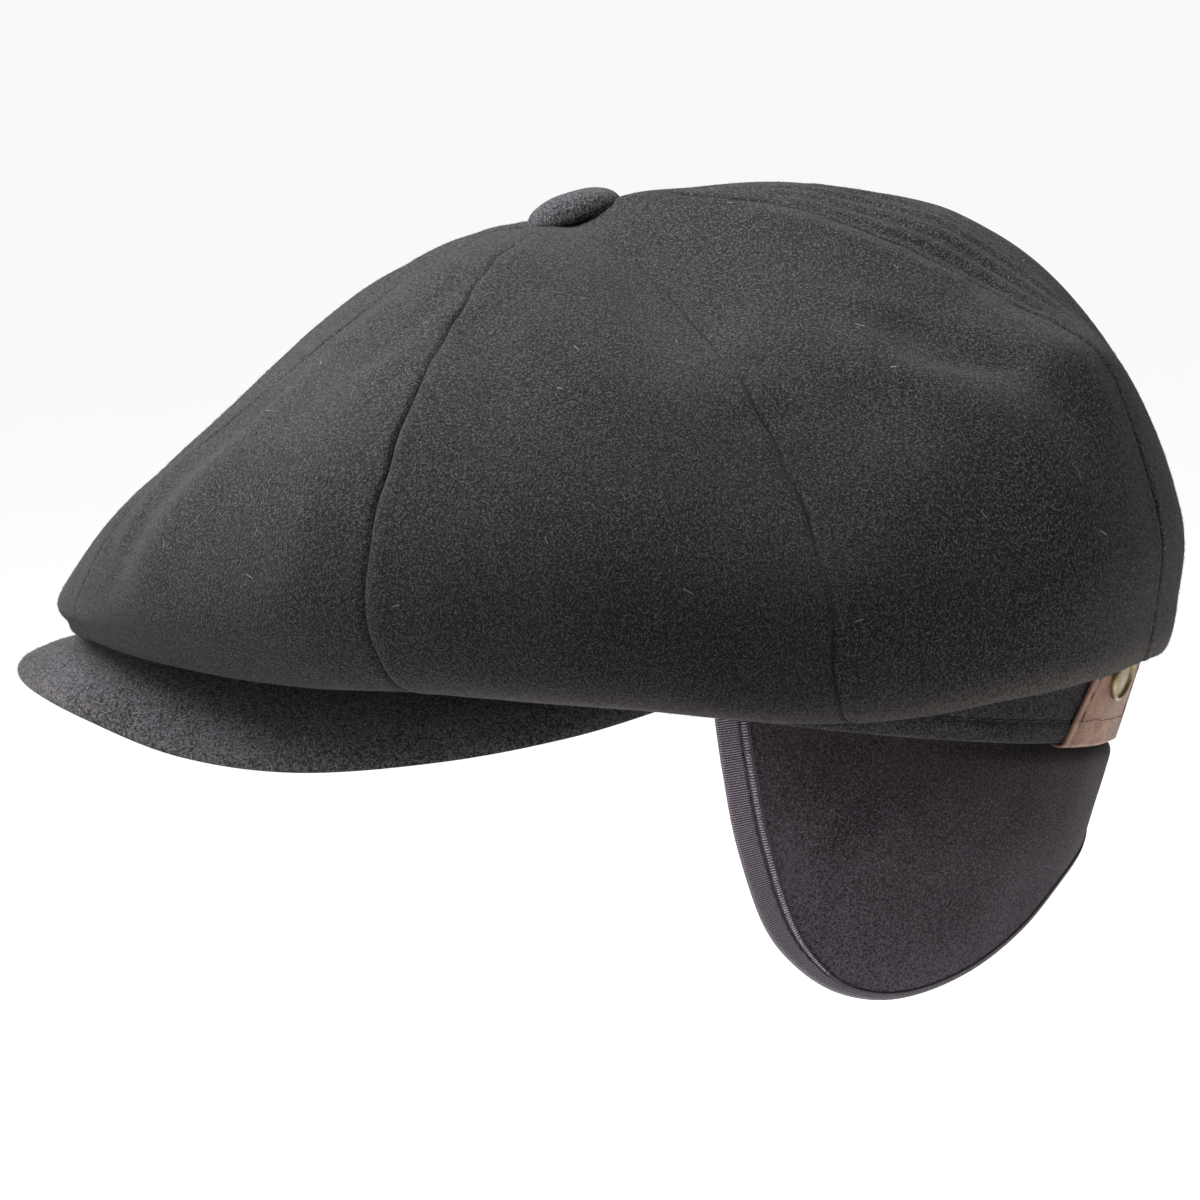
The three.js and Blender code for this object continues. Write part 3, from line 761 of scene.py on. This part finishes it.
# The leather tab over the band; the band is painted darker under it and along its front edge, as the tab's
# shadow.
tab = dict(
    start=147, end=170, height=20, thick=1.0, gap=0.12, tuck=1.5, fold=6.0, columns=66, margin=2.8,
    lean=0.22, perDegree=1.48, stitch=3.0, pitch=5.4, seamStitch=1.75, seamPitch=1.7, thread=0.15,
)

# The head band is one ring with a rolled hem under a row of stitches.
hem = dict(stitchUp=5.6, groove=0.5, grooveWidth=0.6, puff=0.3, round=1.1, columns=300, stitch=3.1, pitch=3.9)


def bandFace(angles, rows, outer):
    # heights crowd at the hem; the outer face dips at the stitches and both turn in at the edge
    up = np.append(np.linspace(0, hem["round"], 7)[:-1], np.linspace(hem["round"], band["height"], rows - 6))
    corner = hem["round"] * rounded(1 - up / hem["round"])
    if outer:
        dip = hem["groove"] * bell(up - hem["stitchUp"], hem["grooveWidth"])
        puff = hem["puff"] * np.sin(np.pi * np.clip(up / hem["stitchUp"], 0, 1))
        out = band["wall"] - corner - dip + puff
    else:
        out = corner
    return bandPoint(angles[:, None], up[None], out[None])[:, ::-1]


def bandPiece():
    angles = np.arange(hem["columns"]) * 360 / hem["columns"]
    front, back = bandFace(angles, 40, True), bandFace(angles, 40, False)
    bumps = 0.1 * ripple(front, 12, 31) + 0.16 * ripple(front, 30, 32)
    front = front + headOut(angles)[:, None] * bumps[..., None]
    low = 0 * front[..., 0]
    uv = np.stack([low + (angles * 1.6)[:, None], front[..., 2]], -1)
    up = np.linspace(band["height"], 0, 40)[None]
    # painted shadow: the band is darkened along the tab's front edge and under the tab
    fromTab = (tab["start"] + tab["lean"] * up - angles[:, None]) * tab["perDegree"]
    under = np.maximum(bell(fromTab - 0.3, 1.0), bell(fromTab + 16, 15.5)) * (up < tab["height"])
    shades = dict(valley=0.9 * under, worn=low)
    piece = sheetPiece("band_cloth", front, back, ringed=True, uv=uv, shades=shades)
    finished(piece, woolMaterial("bandWool", 1.6, 0.9, 0.5), "wool_melton", "head_band")
    turn = np.linspace(0, 360, 1200)
    path = bandPoint(turn, hem["stitchUp"], band["wall"] - hem["groove"] * 0.4 + hem["puff"] * 0.1)
    paths, outs = stitchRow(path, headOut(turn), hem["stitch"], hem["pitch"])
    stitches = stitchPiece("band_stitches", paths, outs, 0.2, 0.35)
    finished(stitches, threadMaterial("bandThread", tone(5, 5, 5), tone(16, 15, 15)), "wool_melton")


bandPiece()
print("band and its stitches")

# The peak is cloth pulled smoothly over a stiff board.
peak = dict(end=84, thick=3.4, arch=4, archEnd=1.5, rootGap=0.2, edgeRound=2.6, along=181, across=52)
peakEdge = np.array([  # the lower outer edge from the middle to the end: x, y, z
    [0, -168, 1],
    [30, -163.4, -0.3],
    [56, -148.6, -4.5],
    [75, -124.5, -11.3],
    [86, -96, -13.7],
    [89.5, -62, -10.8],
    [88.5, -32, -5.2],
    [84.5, -10, 1],
])


def peakFace(sides, shareRows, drop):
    # sides -1 to 1 along the peak, each row a share 0 at the band to 1 at the outer edge; drop is
    # how far below the top face the point lies
    rows = np.vstack([peakEdge[1] * [-1, 1, 1], peakEdge])
    edge = through(rows, np.abs(sides) * (len(peakEdge) - 1) + 1)
    edge[:, 0] *= np.where(sides < 0, -1, 1)
    edge = edge[:, None] + np.array([0, 0, 1]) * (peak["thick"] - drop)[..., None]
    root = bandPoint((sides * peak["end"])[:, None], peak["thick"] - drop, band["wall"] + peak["rootGap"])
    arch = mix(peak["arch"], peak["archEnd"], np.abs(sides))[:, None]
    point = mix(root, edge, shareRows[..., None])
    point[..., 2] += arch * np.sin(np.pi * shareRows)
    return point


def peakPiece():
    sides = np.linspace(1, -1, peak["along"])
    crowd = np.linspace(0, 1, peak["across"])
    share = (1 - (1 - crowd) ** 1.7)[None] + 0 * sides[:, None]
    zero = 0 * share
    root, edge = (peakFace(sides, zero[:, :1] + end, zero[:, :1]) for end in (0, 1))
    width = np.linalg.norm(root - edge, axis=-1)
    inFromEdge = (1 - share) * width
    bulge = 0.5 * peak["thick"] * rounded(1 - inFromEdge / peak["edgeRound"])
    pad = 0.35 * bell(inFromEdge - 7, 5)
    front = peakFace(sides, share, bulge * 0.98 - pad)
    back = peakFace(sides, share, peak["thick"] - bulge * 0.98)
    lift = 0.28 * ripple(front, 38, 41) + 0.06 * ripple(front, 8, 42)
    front[..., 2] += lift * np.clip(inFromEdge / 6, 0, 1)
    back[..., 2] += (0.28 * ripple(back, 38, 41)) * np.clip(inFromEdge / 6, 0, 1)
    worn = 0.12 * bell(inFromEdge, 2.2)
    stepped = np.linalg.norm(np.diff(front, axis=1, prepend=front[:, :1]), axis=-1)
    uv = np.stack(np.broadcast_arrays(sides[:, None] * 170, np.cumsum(stepped, axis=1)), -1)[::-1]
    shades = dict(valley=zero, worn=worn[::-1])
    piece = sheetPiece("peak_cloth", front[::-1], back[::-1], uv=uv, shades=shades)
    # the peak's wool is a 2.7 times brighter copy of the crown's: painted light in place of the light the
    # crown's shadow takes from it
    finished(piece, woolMaterial("peakWoolPaintedLight", 2.7, 0.0, 0.6), "wool_melton", "peak")
    return front[::-1]


peakSkin = peakPiece()
print("peak")

# The ear flap is one felt sheet from ear to ear round the back.
flap = dict(
    thick=2.4, topClear=0.35, clear=2.4, rise=12, lean=0.0042, backLean=0.3, spring=5.3, springLength=2.7,
    backFrom=115, backTo=150, fan=1.15, columns=281, rows=64, pinch=0.55,
)
flapEdge = np.array([  # angle and height from the front corner over the ear to the middle of the back
    [90.9, 3],
    [92.3, -13],
    [94.7, -32],
    [99.3, -51],
    [105.7, -62],
    [114.4, -69],
    [125, -71],
    [137, -66.5],
    [150, -57.3],
    [163, -46],
    [180, -38.5],
])


def flapLean(angle, below):
    # over the ears a growing curve; at the back it springs out round the band's edge, then leans in
    back = flap["backLean"] * below - flap["spring"] * (1 - np.exp(-((below / flap["springLength"]) ** 2)))
    return mix(flap["lean"] * below**2, back, step(np.abs(wrapped(angle)), flap["backFrom"], flap["backTo"]))


def flapPoint(angle, z, deep):
    # a point of the flap's sheet at an angle and a height, `deep` inside its outer face
    angle, z, deep = np.broadcast_arrays(np.asarray(angle, float), z, deep)
    above = z - edgeHeight(angle, headOval(angle, 0)[..., 1])
    clear = mix(flap["clear"], flap["topClear"], np.clip(above / flap["rise"], 0, 1))
    plan = headOval(angle, -clear - deep - flapLean(angle, np.maximum(-above, 0)))
    raised = np.maximum(above, 0)
    out = headOut(angle)[..., :2] * (band["flare"] * raised)[..., None]
    return np.concatenate([plan + out + np.stack([0 * raised, slope * raised], -1), z[..., None]], -1)


def flapOutline(side):
    # the outline from 0 at the left front corner to 2 at the right one: angle, height, share
    side = np.asarray(side, float)
    share = np.where(side <= 1, side, 2 - side)
    angle, z = through(flapEdge, share * (len(flapEdge) - 1)).T
    return np.where(side <= 1, angle, 360 - angle), z, share


# how far the binding reaches in from the edge, at each tenth from the front corner to the back
bindingWidths = np.array([7, 7, 7, 6.2, 3.9, 1.7, 1.1, 0.9, 0.9, 0.9, 0.9])[:, None]


def flapPiece():
    # columns fan from a line inside the band down to the outline; rows crowd towards the edge,
    # where the sheet is pinched thinner inside its binding
    side = np.linspace(0, 2, flap["columns"])
    edgeAngle, edgeZ, share = flapOutline(side)
    fanned = 90 + 90 * share ** flap["fan"]
    top = np.where(side <= 1, fanned, 360 - fanned)
    topZ = flap["rise"] + edgeHeight(top, headOval(top, 0)[:, 1])
    down = np.linspace(0, 1, flap["rows"])
    down = (1 - (1 - down) ** 1.5)[None]
    angle, z = mix(top[:, None], edgeAngle[:, None], down), mix(topZ[:, None], edgeZ[:, None], down)
    middle = flapPoint(angle, z, 0)
    left = np.linalg.norm(middle - middle[:, -1:], axis=-1)
    width = through(bindingWidths, share * 10)[:, 0][:, None]
    pinch = flap["pinch"] * (1 - step(left, width * 0.7, width * 1.05 + 0.6))
    wave = 0.5 * ripple(middle, 34, 51) + 0.08 * ripple(middle, 8, 52)
    wave = wave * np.clip(left / 12, 0, 1) * step(down, 0.1, 0.4)
    front = flapPoint(angle, z, pinch - wave)
    back = flapPoint(angle, z, flap["thick"] - pinch - wave)
    # the felt is lighter near the binding at the back and towards the bottom
    worn = 0.25 * bell(left - width, 2.5) * step(share, 0.45, 0.7)[:, None] + 0.4 * step(down, 0.45, 1)
    # painted shade: the flap is darkened towards its top, under the band
    dusk = 0.42 * (1 - step(down, 0.2, 0.6)) + 0 * worn
    uv = np.stack([angle * 1.5, z], -1)
    piece = sheetPiece("flap_sheet", front, back, uv=uv, shades=dict(worn=worn, dusk=dusk))
    return finished(piece, feltMaterial(), "flap_felt", "ear_flap"), front


flapSheet, flapSkin = flapPiece()
print("ear flap")

# The binding is a ribbed tape folded over the flap's edge, with a rib and a ladder of stitches.
binding = dict(
    clear=-0.35, thick=0.8, along=520, grooveAt=0.66, groove=0.6, ribAt=0.82, rib=0.4, ladder=0.7,
    thread=0.15, wobble=0.02, dusk=0.6, ladderEnd=0.45,
)


def bindingPlace(side, reach, deep):
    # `reach` in from the outline, square to it within the flap's sheet
    angle, z, _ = flapOutline(side)
    before, after = flapOutline(np.maximum(side - 0.01, 0)), flapOutline(np.minimum(side + 0.01, 2))
    perDegree = np.linalg.norm(flapPoint(angle + 0.5, z, 0) - flapPoint(angle - 0.5, z, 0), axis=-1)
    run = unit(np.stack([(after[0] - before[0]) * perDegree, after[1] - before[1]], -1))
    return flapPoint((angle - run[:, 1] * reach.T / perDegree).T, (z + run[:, 0] * reach.T).T, deep)


def tapeHeight(share, width, side):
    # the tape's face: flat, a stitched groove that wanders round two thirds, then a raised rib that
    # turns down
    fine = np.clip((width - 1.2) / 4, 0, 1)
    along = np.reshape(side, (-1, 1)) * 250
    wobble = binding["wobble"] * ripple(np.stack([along, 0 * along, 0 * along], -1), 1.4, 81)
    dip = -binding["groove"] * (1 + 14 * wobble) * bell(share - binding["grooveAt"] + wobble, 0.05) * fine
    rib = binding["rib"] * bell(share - binding["ribAt"], 0.1) * fine
    end = -0.75 * step(share, 0.9, 1.0) * (0.35 + 0.65 * fine)
    return dip + rib + end


def tapeSection(width, skin, off, bulge):
    # down one face, a half turn of its own radius round the flap's edge, and up the other face
    thick = flap["thick"]
    face = np.linspace(1, 0, skin.shape[1])[None]
    turn = (np.arange(1, 10) / 10 * np.pi)[None]
    radius = thick / 2 + off + 0 * width
    reach = np.concatenate([face * width, -radius * bulge * np.sin(turn), face[:, ::-1] * width], 1)
    edge = thick / 2 - radius * np.cos(turn)
    return reach, np.concatenate([-off - skin, edge, thick + off + skin[:, ::-1]], 1)


def bindingPiece():
    side = np.linspace(0, 2, binding["along"])
    share = flapOutline(side)[2]
    width = through(bindingWidths, share * 10)
    skin = tapeHeight(np.linspace(1, 0, 27)[None], width, side)
    reach, deep = tapeSection(width, skin, binding["clear"] + binding["thick"], 0.62)
    outer = bindingPlace(side, reach, deep)
    inner = bindingPlace(side, *tapeSection(width, 0 * skin, binding["clear"], 0.3))
    walked = walkedAlong(bindingPlace(side, 0 * width, 0 * width)[:, 0])[:, None]
    uv = np.stack(np.broadcast_arrays(walked, reach * np.sign(flap["thick"] / 2 - deep)), -1)
    reached = np.maximum(reach, 0) / width
    shade = 0.8 * bell(reached - binding["grooveAt"], 0.06) + 0.45 * step(reached, 0.7, 0.74)
    dusk = binding["dusk"] * step(share, 0.08, 0.32) - 0.15 * step(share, 0.5, 0.65)
    shade = shade + dusk[:, None]
    piece = sheetPiece("binding_tape", outer, inner, uv=uv, shades=dict(shade=np.clip(shade, 0, 1)))
    finished(piece, ribbonMaterial(), "binding_ribbon", "flap_binding")
    return piece, (side, share, width, walked[:, 0])


def ladderStitches(side, share, width, walked):
    # one short stitch across the rib at every rung, on both faces, until the tape grows narrow
    half = len(share) // 2
    last = np.interp(binding["ladderEnd"], share[:half], walked[:half])
    starts = np.arange(1.0, last, binding["ladder"])
    starts = np.concatenate([starts, walked[-1] - starts])
    at = np.interp(starts, walked, side)
    wide = np.interp(starts, walked, width[:, 0])[:, None]
    across = np.linspace(0.69, 0.9, 5)[None]
    off = binding["clear"] + binding["thick"] + 0.03
    height = tapeHeight(across, wide, at)
    skins = []
    for outer in (True, False):
        deep = -off - height if outer else flap["thick"] + off + height
        skins.append(bindingPlace(at, across * wide, deep))
    paths = np.concatenate(skins)
    outs = np.concatenate([headOut(flapOutline(at)[0])] * 2)
    outs[len(at):] *= -1
    outs = np.repeat(outs[:, None], paths.shape[1], 1)
    piece = stitchPiece("binding_stitches", paths, outs, binding["thread"], 0.12)
    thread = threadMaterial("ribbonThread", tone(70, 61, 71), tone(138, 127, 142))
    return finished(piece, thread, "binding_ribbon")


bindingTape, alongTape = bindingPiece()
sewnSheet(flapSkin, [bindingTape, ladderStitches(*alongTape)])
print("binding and its stitches")


def tabPlace(angle, down, off):
    # the tab lies over the band and folds under it: `down` runs from its top edge, in a half circle
    # under the band's lower edge and up inside, `off` stands out from the band's faces
    outer = np.clip(down, 0, tab["height"])
    angle = angle + tab["lean"] * (tab["height"] - outer)
    bend = np.clip((down - tab["height"]) / tab["fold"], 0, 1) * np.pi
    inside = np.clip(down - tab["height"] - tab["fold"], 0, None)
    half = band["wall"] / 2
    out = np.where(down <= tab["height"], band["wall"] + off, half + (half + off) * np.cos(bend))
    up = np.where(down <= tab["height"], tab["height"] - outer, -off * np.sin(bend) + inside)
    return bandPoint(angle, up, out)


def tabSwell(angle, down):
    # the leather's own low bumps
    shape = bandPoint(angle, tab["height"] - down, band["wall"])
    return 0.12 * ripple(shape, 9, 61) + 0.05 * ripple(shape, 3, 62)


def tabPiece():
    even = np.linspace(0, 1, tab["columns"])
    across = even - 0.12 * np.sin(2 * np.pi * even)
    angles = mix(tab["start"], tab["end"], across)[:, None]
    long = tab["height"] + tab["fold"] + tab["tuck"]
    down = np.append(np.linspace(0, 1.2, 6)[:-1], np.linspace(1.2, long, 64))[None]
    wide = np.linalg.norm(bandPoint(tab["start"], 10, band["wall"]) - bandPoint(tab["end"], 10, band["wall"]))
    fromEdge = np.minimum(np.minimum(across, 1 - across)[:, None] * wide, np.minimum(down, long - down))
    soft = 0.5 * rounded(1 - fromEdge / 0.7)
    line = 0.16 * bell(fromEdge - tab["margin"], 0.5)
    swell = tabSwell(angles, down) * np.clip(fromEdge / 2, 0, 1)
    front = tabPlace(angles, down, tab["gap"] + tab["thick"] * (1 - soft) - line + swell)
    back = tabPlace(angles, down, tab["gap"] + tab["thick"] * soft * 0.6 + 0 * down)
    worn = 0.85 * bell(fromEdge, 0.45) + 0.35 * bell(fromEdge - tab["margin"], 0.6)
    piece = sheetPiece("tab_strap", front, back, shades=dict(worn=worn))
    finished(piece, leatherMaterial(), "tab_leather", "leather_tab")
    return wide


def tabStitches(wide):
    # two upright rows beside the tab's edges and one that carries on the band's row
    degreesPerMm = (tab["end"] - tab["start"]) / wide
    off = tab["gap"] + tab["thick"] + 0.04
    inset = tab["margin"] * degreesPerMm
    runs = []
    for angle in (tab["start"] + inset, tab["end"] - inset):
        down = np.linspace(1.5, tab["height"] - 0.8, 60)
        runs.append((np.full(60, angle), down))
    turn = np.linspace(tab["start"] + inset * 0.3, tab["end"] - inset * 0.3, 60)
    runs.append((turn, tab["height"] - hem["stitchUp"] + 0 * turn))
    runs = [(tabPlace(angle, down, off + tabSwell(angle, down)), headOut(angle)) for angle, down in runs]
    cut = [stitchRow(path, outs, tab["stitch"], tab["pitch"], start=0.4) for path, outs in runs[:2]]
    cut.append(stitchRow(*runs[2], tab["seamStitch"], tab["seamPitch"], start=0.2))
    paths, outs = (np.concatenate([each[k] for each in cut]) for k in (0, 1))
    paths = paths + 0.22 * ripple(paths, 2.2, 63)[..., None] * np.array([0, 0.3, 1])
    piece = stitchPiece("tab_stitches", paths, outs, tab["thread"], 0.3)
    finished(piece, threadMaterial("tabThread", tone(30, 13, 9), tone(74, 34, 26)), "tab_leather")


tabStitches(tabPiece())
print("tab and its stitches")

# The stud is a plain oval badge with a raised rim.
stud = dict(angle=159.5, up=16.3, width=10.6, height=12, thick=1.6, sides=96)


def studPiece():
    # an oval's rings: each row of the outline is a share of the oval's size and of its thickness
    outline = np.array([
        [0, 0], [0.5, 0], [0.93, 0], [0.985, 0.12], [1, 0.4], [0.985, 0.75], [0.93, 0.98], [0.87, 0.96],
        [0.83, 0.72], [0.8, 0.52], [0.7, 0.55], [0.45, 0.68], [0.2, 0.76], [0, 0.78],
    ])
    profile = through(outline, np.linspace(0, len(outline) - 1, 92))[1:-1]
    turn = np.arange(stud["sides"]) * 2 * np.pi / stud["sides"]
    radius, height = profile.T[:, None]
    out = headOut(np.array(stud["angle"]))
    rise = unit(bandPoint(stud["angle"], 1, 0) - bandPoint(stud["angle"], 0, 0))
    sideways = unit(np.cross(out, rise))
    facing = np.cross(rise, sideways)
    seat = bandPoint(stud["angle"], stud["up"], band["wall"] + tab["gap"] * 2 + tab["thick"] - 0.15)
    x = (radius * np.cos(turn)[:, None] * stud["width"] / 2)[..., None] * sideways
    z = (radius * np.sin(turn)[:, None] * stud["height"] / 2)[..., None] * rise
    points = seat + x + z + (height * stud["thick"] + 0 * turn[:, None])[..., None] * facing
    ends = np.stack([seat, seat + facing * stud["thick"] * (outline[-1, 1] + 0.001)])
    groove = (bell(profile[:, 0] - 0.82, 0.04) * (profile[:, 1] > 0.4))[None] + 0 * turn[:, None]
    shades = dict(worn=np.append(groove.ravel() * 0.35, [0, 0]))
    return turnedPiece("stud_badge", points, ends, shades=shades)


finished(studPiece(), brassMaterial(), "stud_brass", "tab_stud")
print("stud")

# The nap is loose fibre ends that stand off the wool.
nap = dict(perSide=36000, onPeak=9000, length=(0.7, 1.7), thick=0.045, stand=0.34, root=0.12)


def napPiece(name, skins, count, material, seed):
    # each fibre is a closed three-sided sliver, seated at a random point of the cloth, area by area
    random = np.random.default_rng(seed)
    cells, normals = [], []
    for skin in skins:
        corners = [skin[:-1, :-1], skin[1:, :-1], skin[1:, 1:], skin[:-1, 1:]]
        cells.append(np.stack(corners, 2).reshape(-1, 4, 3))
        normals.append(gridNormals(skin)[:-1, :-1].reshape(-1, 3))
    cells, normals = np.concatenate(cells), np.concatenate(normals)
    area = np.linalg.norm(np.cross(cells[:, 2] - cells[:, 0], cells[:, 3] - cells[:, 1]), axis=1)
    chosen = np.searchsorted(np.cumsum(area) / area.sum(), random.random(count))
    u, v = random.random((2, count, 1))
    corner = cells[chosen]
    root = mix(mix(corner[:, 0], corner[:, 1], u), mix(corner[:, 3], corner[:, 2], u), v)
    out = normals[chosen]
    lie = unit(np.cross(out, unit(random.normal(size=(count, 3)))))
    along = unit(lie + out * nap["stand"] * random.uniform(0.2, 1.6, (count, 1)))
    length = random.uniform(*nap["length"], (count, 1))
    across = unit(np.cross(along, out))
    other = np.cross(along, across)
    thick = nap["thick"] * random.uniform(0.7, 1.3, (count, 1))
    base = root - out * nap["root"]
    thirds = (0, 2 * math.pi / 3, 4 * math.pi / 3)
    ring = [base + thick * (math.cos(t) * across + math.sin(t) * other) for t in thirds]
    points = np.stack([*ring, base + along * length], 1).reshape(-1, 3)
    start = np.arange(count)[:, None] * 4
    faces = np.concatenate([start + [0, 2, 1], start + [0, 1, 3], start + [1, 2, 3], start + [2, 0, 3]])
    pale = np.repeat(random.random(count) ** 2, 4)
    piece = makeMesh(name, points, faces.tolist(), shades=dict(pale=pale), smooth=False)
    return finished(piece, material, "wool_melton")


def napMaterial():
    fixed = {"Roughness": 0.9, "Specular IOR Level": 0.1}
    material, shader, place, _ = newMaterial("nap", fixed)
    pale = attribute(place, "pale")
    share = (pale * 0.8 + place.noise(800, 1, 0.5) * 0.3).rise(0.05, 1.0)
    base = share.blend(tone(16, 15, 17), tone(66, 65, 67))
    feed(shader, color=base)
    return material


napWool = napMaterial()
leftSkins = panelSkins[1:4] + [panelSkins[4][:31]]
napPiece("nap_left", leftSkins, nap["perSide"], napWool, 71)
napPiece("nap_right", panelSkins[5:8] + [panelSkins[0]], nap["perSide"], napWool, 72)
napPiece("nap_peak", [peakSkin], nap["onPeak"], napWool, 73)
print("nap")

# The room is a pale floor far below, a broad high light, a weak one in front and a white surround.
room = dict(
    floorHalf=150.0, floorZ=-0.42, floorTone=0.94, surround=1.0, aim=(0, -0.02, 0.03), distance=1.3,
    lights=[  # name, way to it, size in metres, watts
        ("key", (0, -0.57, 0.82), 1.2, 116),
        ("front", (0.3, -0.92, 0.25), 1.0, 16),
    ],
)


def makeRoom():
    half = room["floorHalf"]
    mesh = bpy.data.meshes.new("floor")
    square = [(-half, -half), (half, -half), (half, half), (-half, half)]
    mesh.from_pydata([(x, y, room["floorZ"]) for x, y in square], [], [(0, 1, 2, 3)])
    floor = bpy.data.objects.new("floor", mesh)
    bpy.context.scene.collection.objects.link(floor)
    pale = (room["floorTone"],) * 3 + (1,)
    material, *_ = newMaterial("floor", {"Base Color": pale, "Roughness": 1.0})
    mesh.materials.append(material)
    world = bpy.data.worlds.new("surround")
    world.use_nodes = True
    background = world.node_tree.nodes["Background"]
    background.inputs["Color"].default_value = (1, 1, 1, 1)
    background.inputs["Strength"].default_value = room["surround"]
    bpy.context.scene.world = world
    for name, way, size, power in room["lights"]:
        light = bpy.data.lights.new(name, "AREA")
        light.shape, light.size, light.energy = "DISK", size, power
        lamp = bpy.data.objects.new(name, light)
        lamp.location = Vector(room["aim"]) + Vector(way).normalized() * room["distance"]
        lamp.rotation_euler = Vector(way).to_track_quat("Z", "Y").to_euler()
        bpy.context.scene.collection.objects.link(lamp)
    bpy.context.scene.view_settings.view_transform = "Standard"


makeRoom()
print("room")
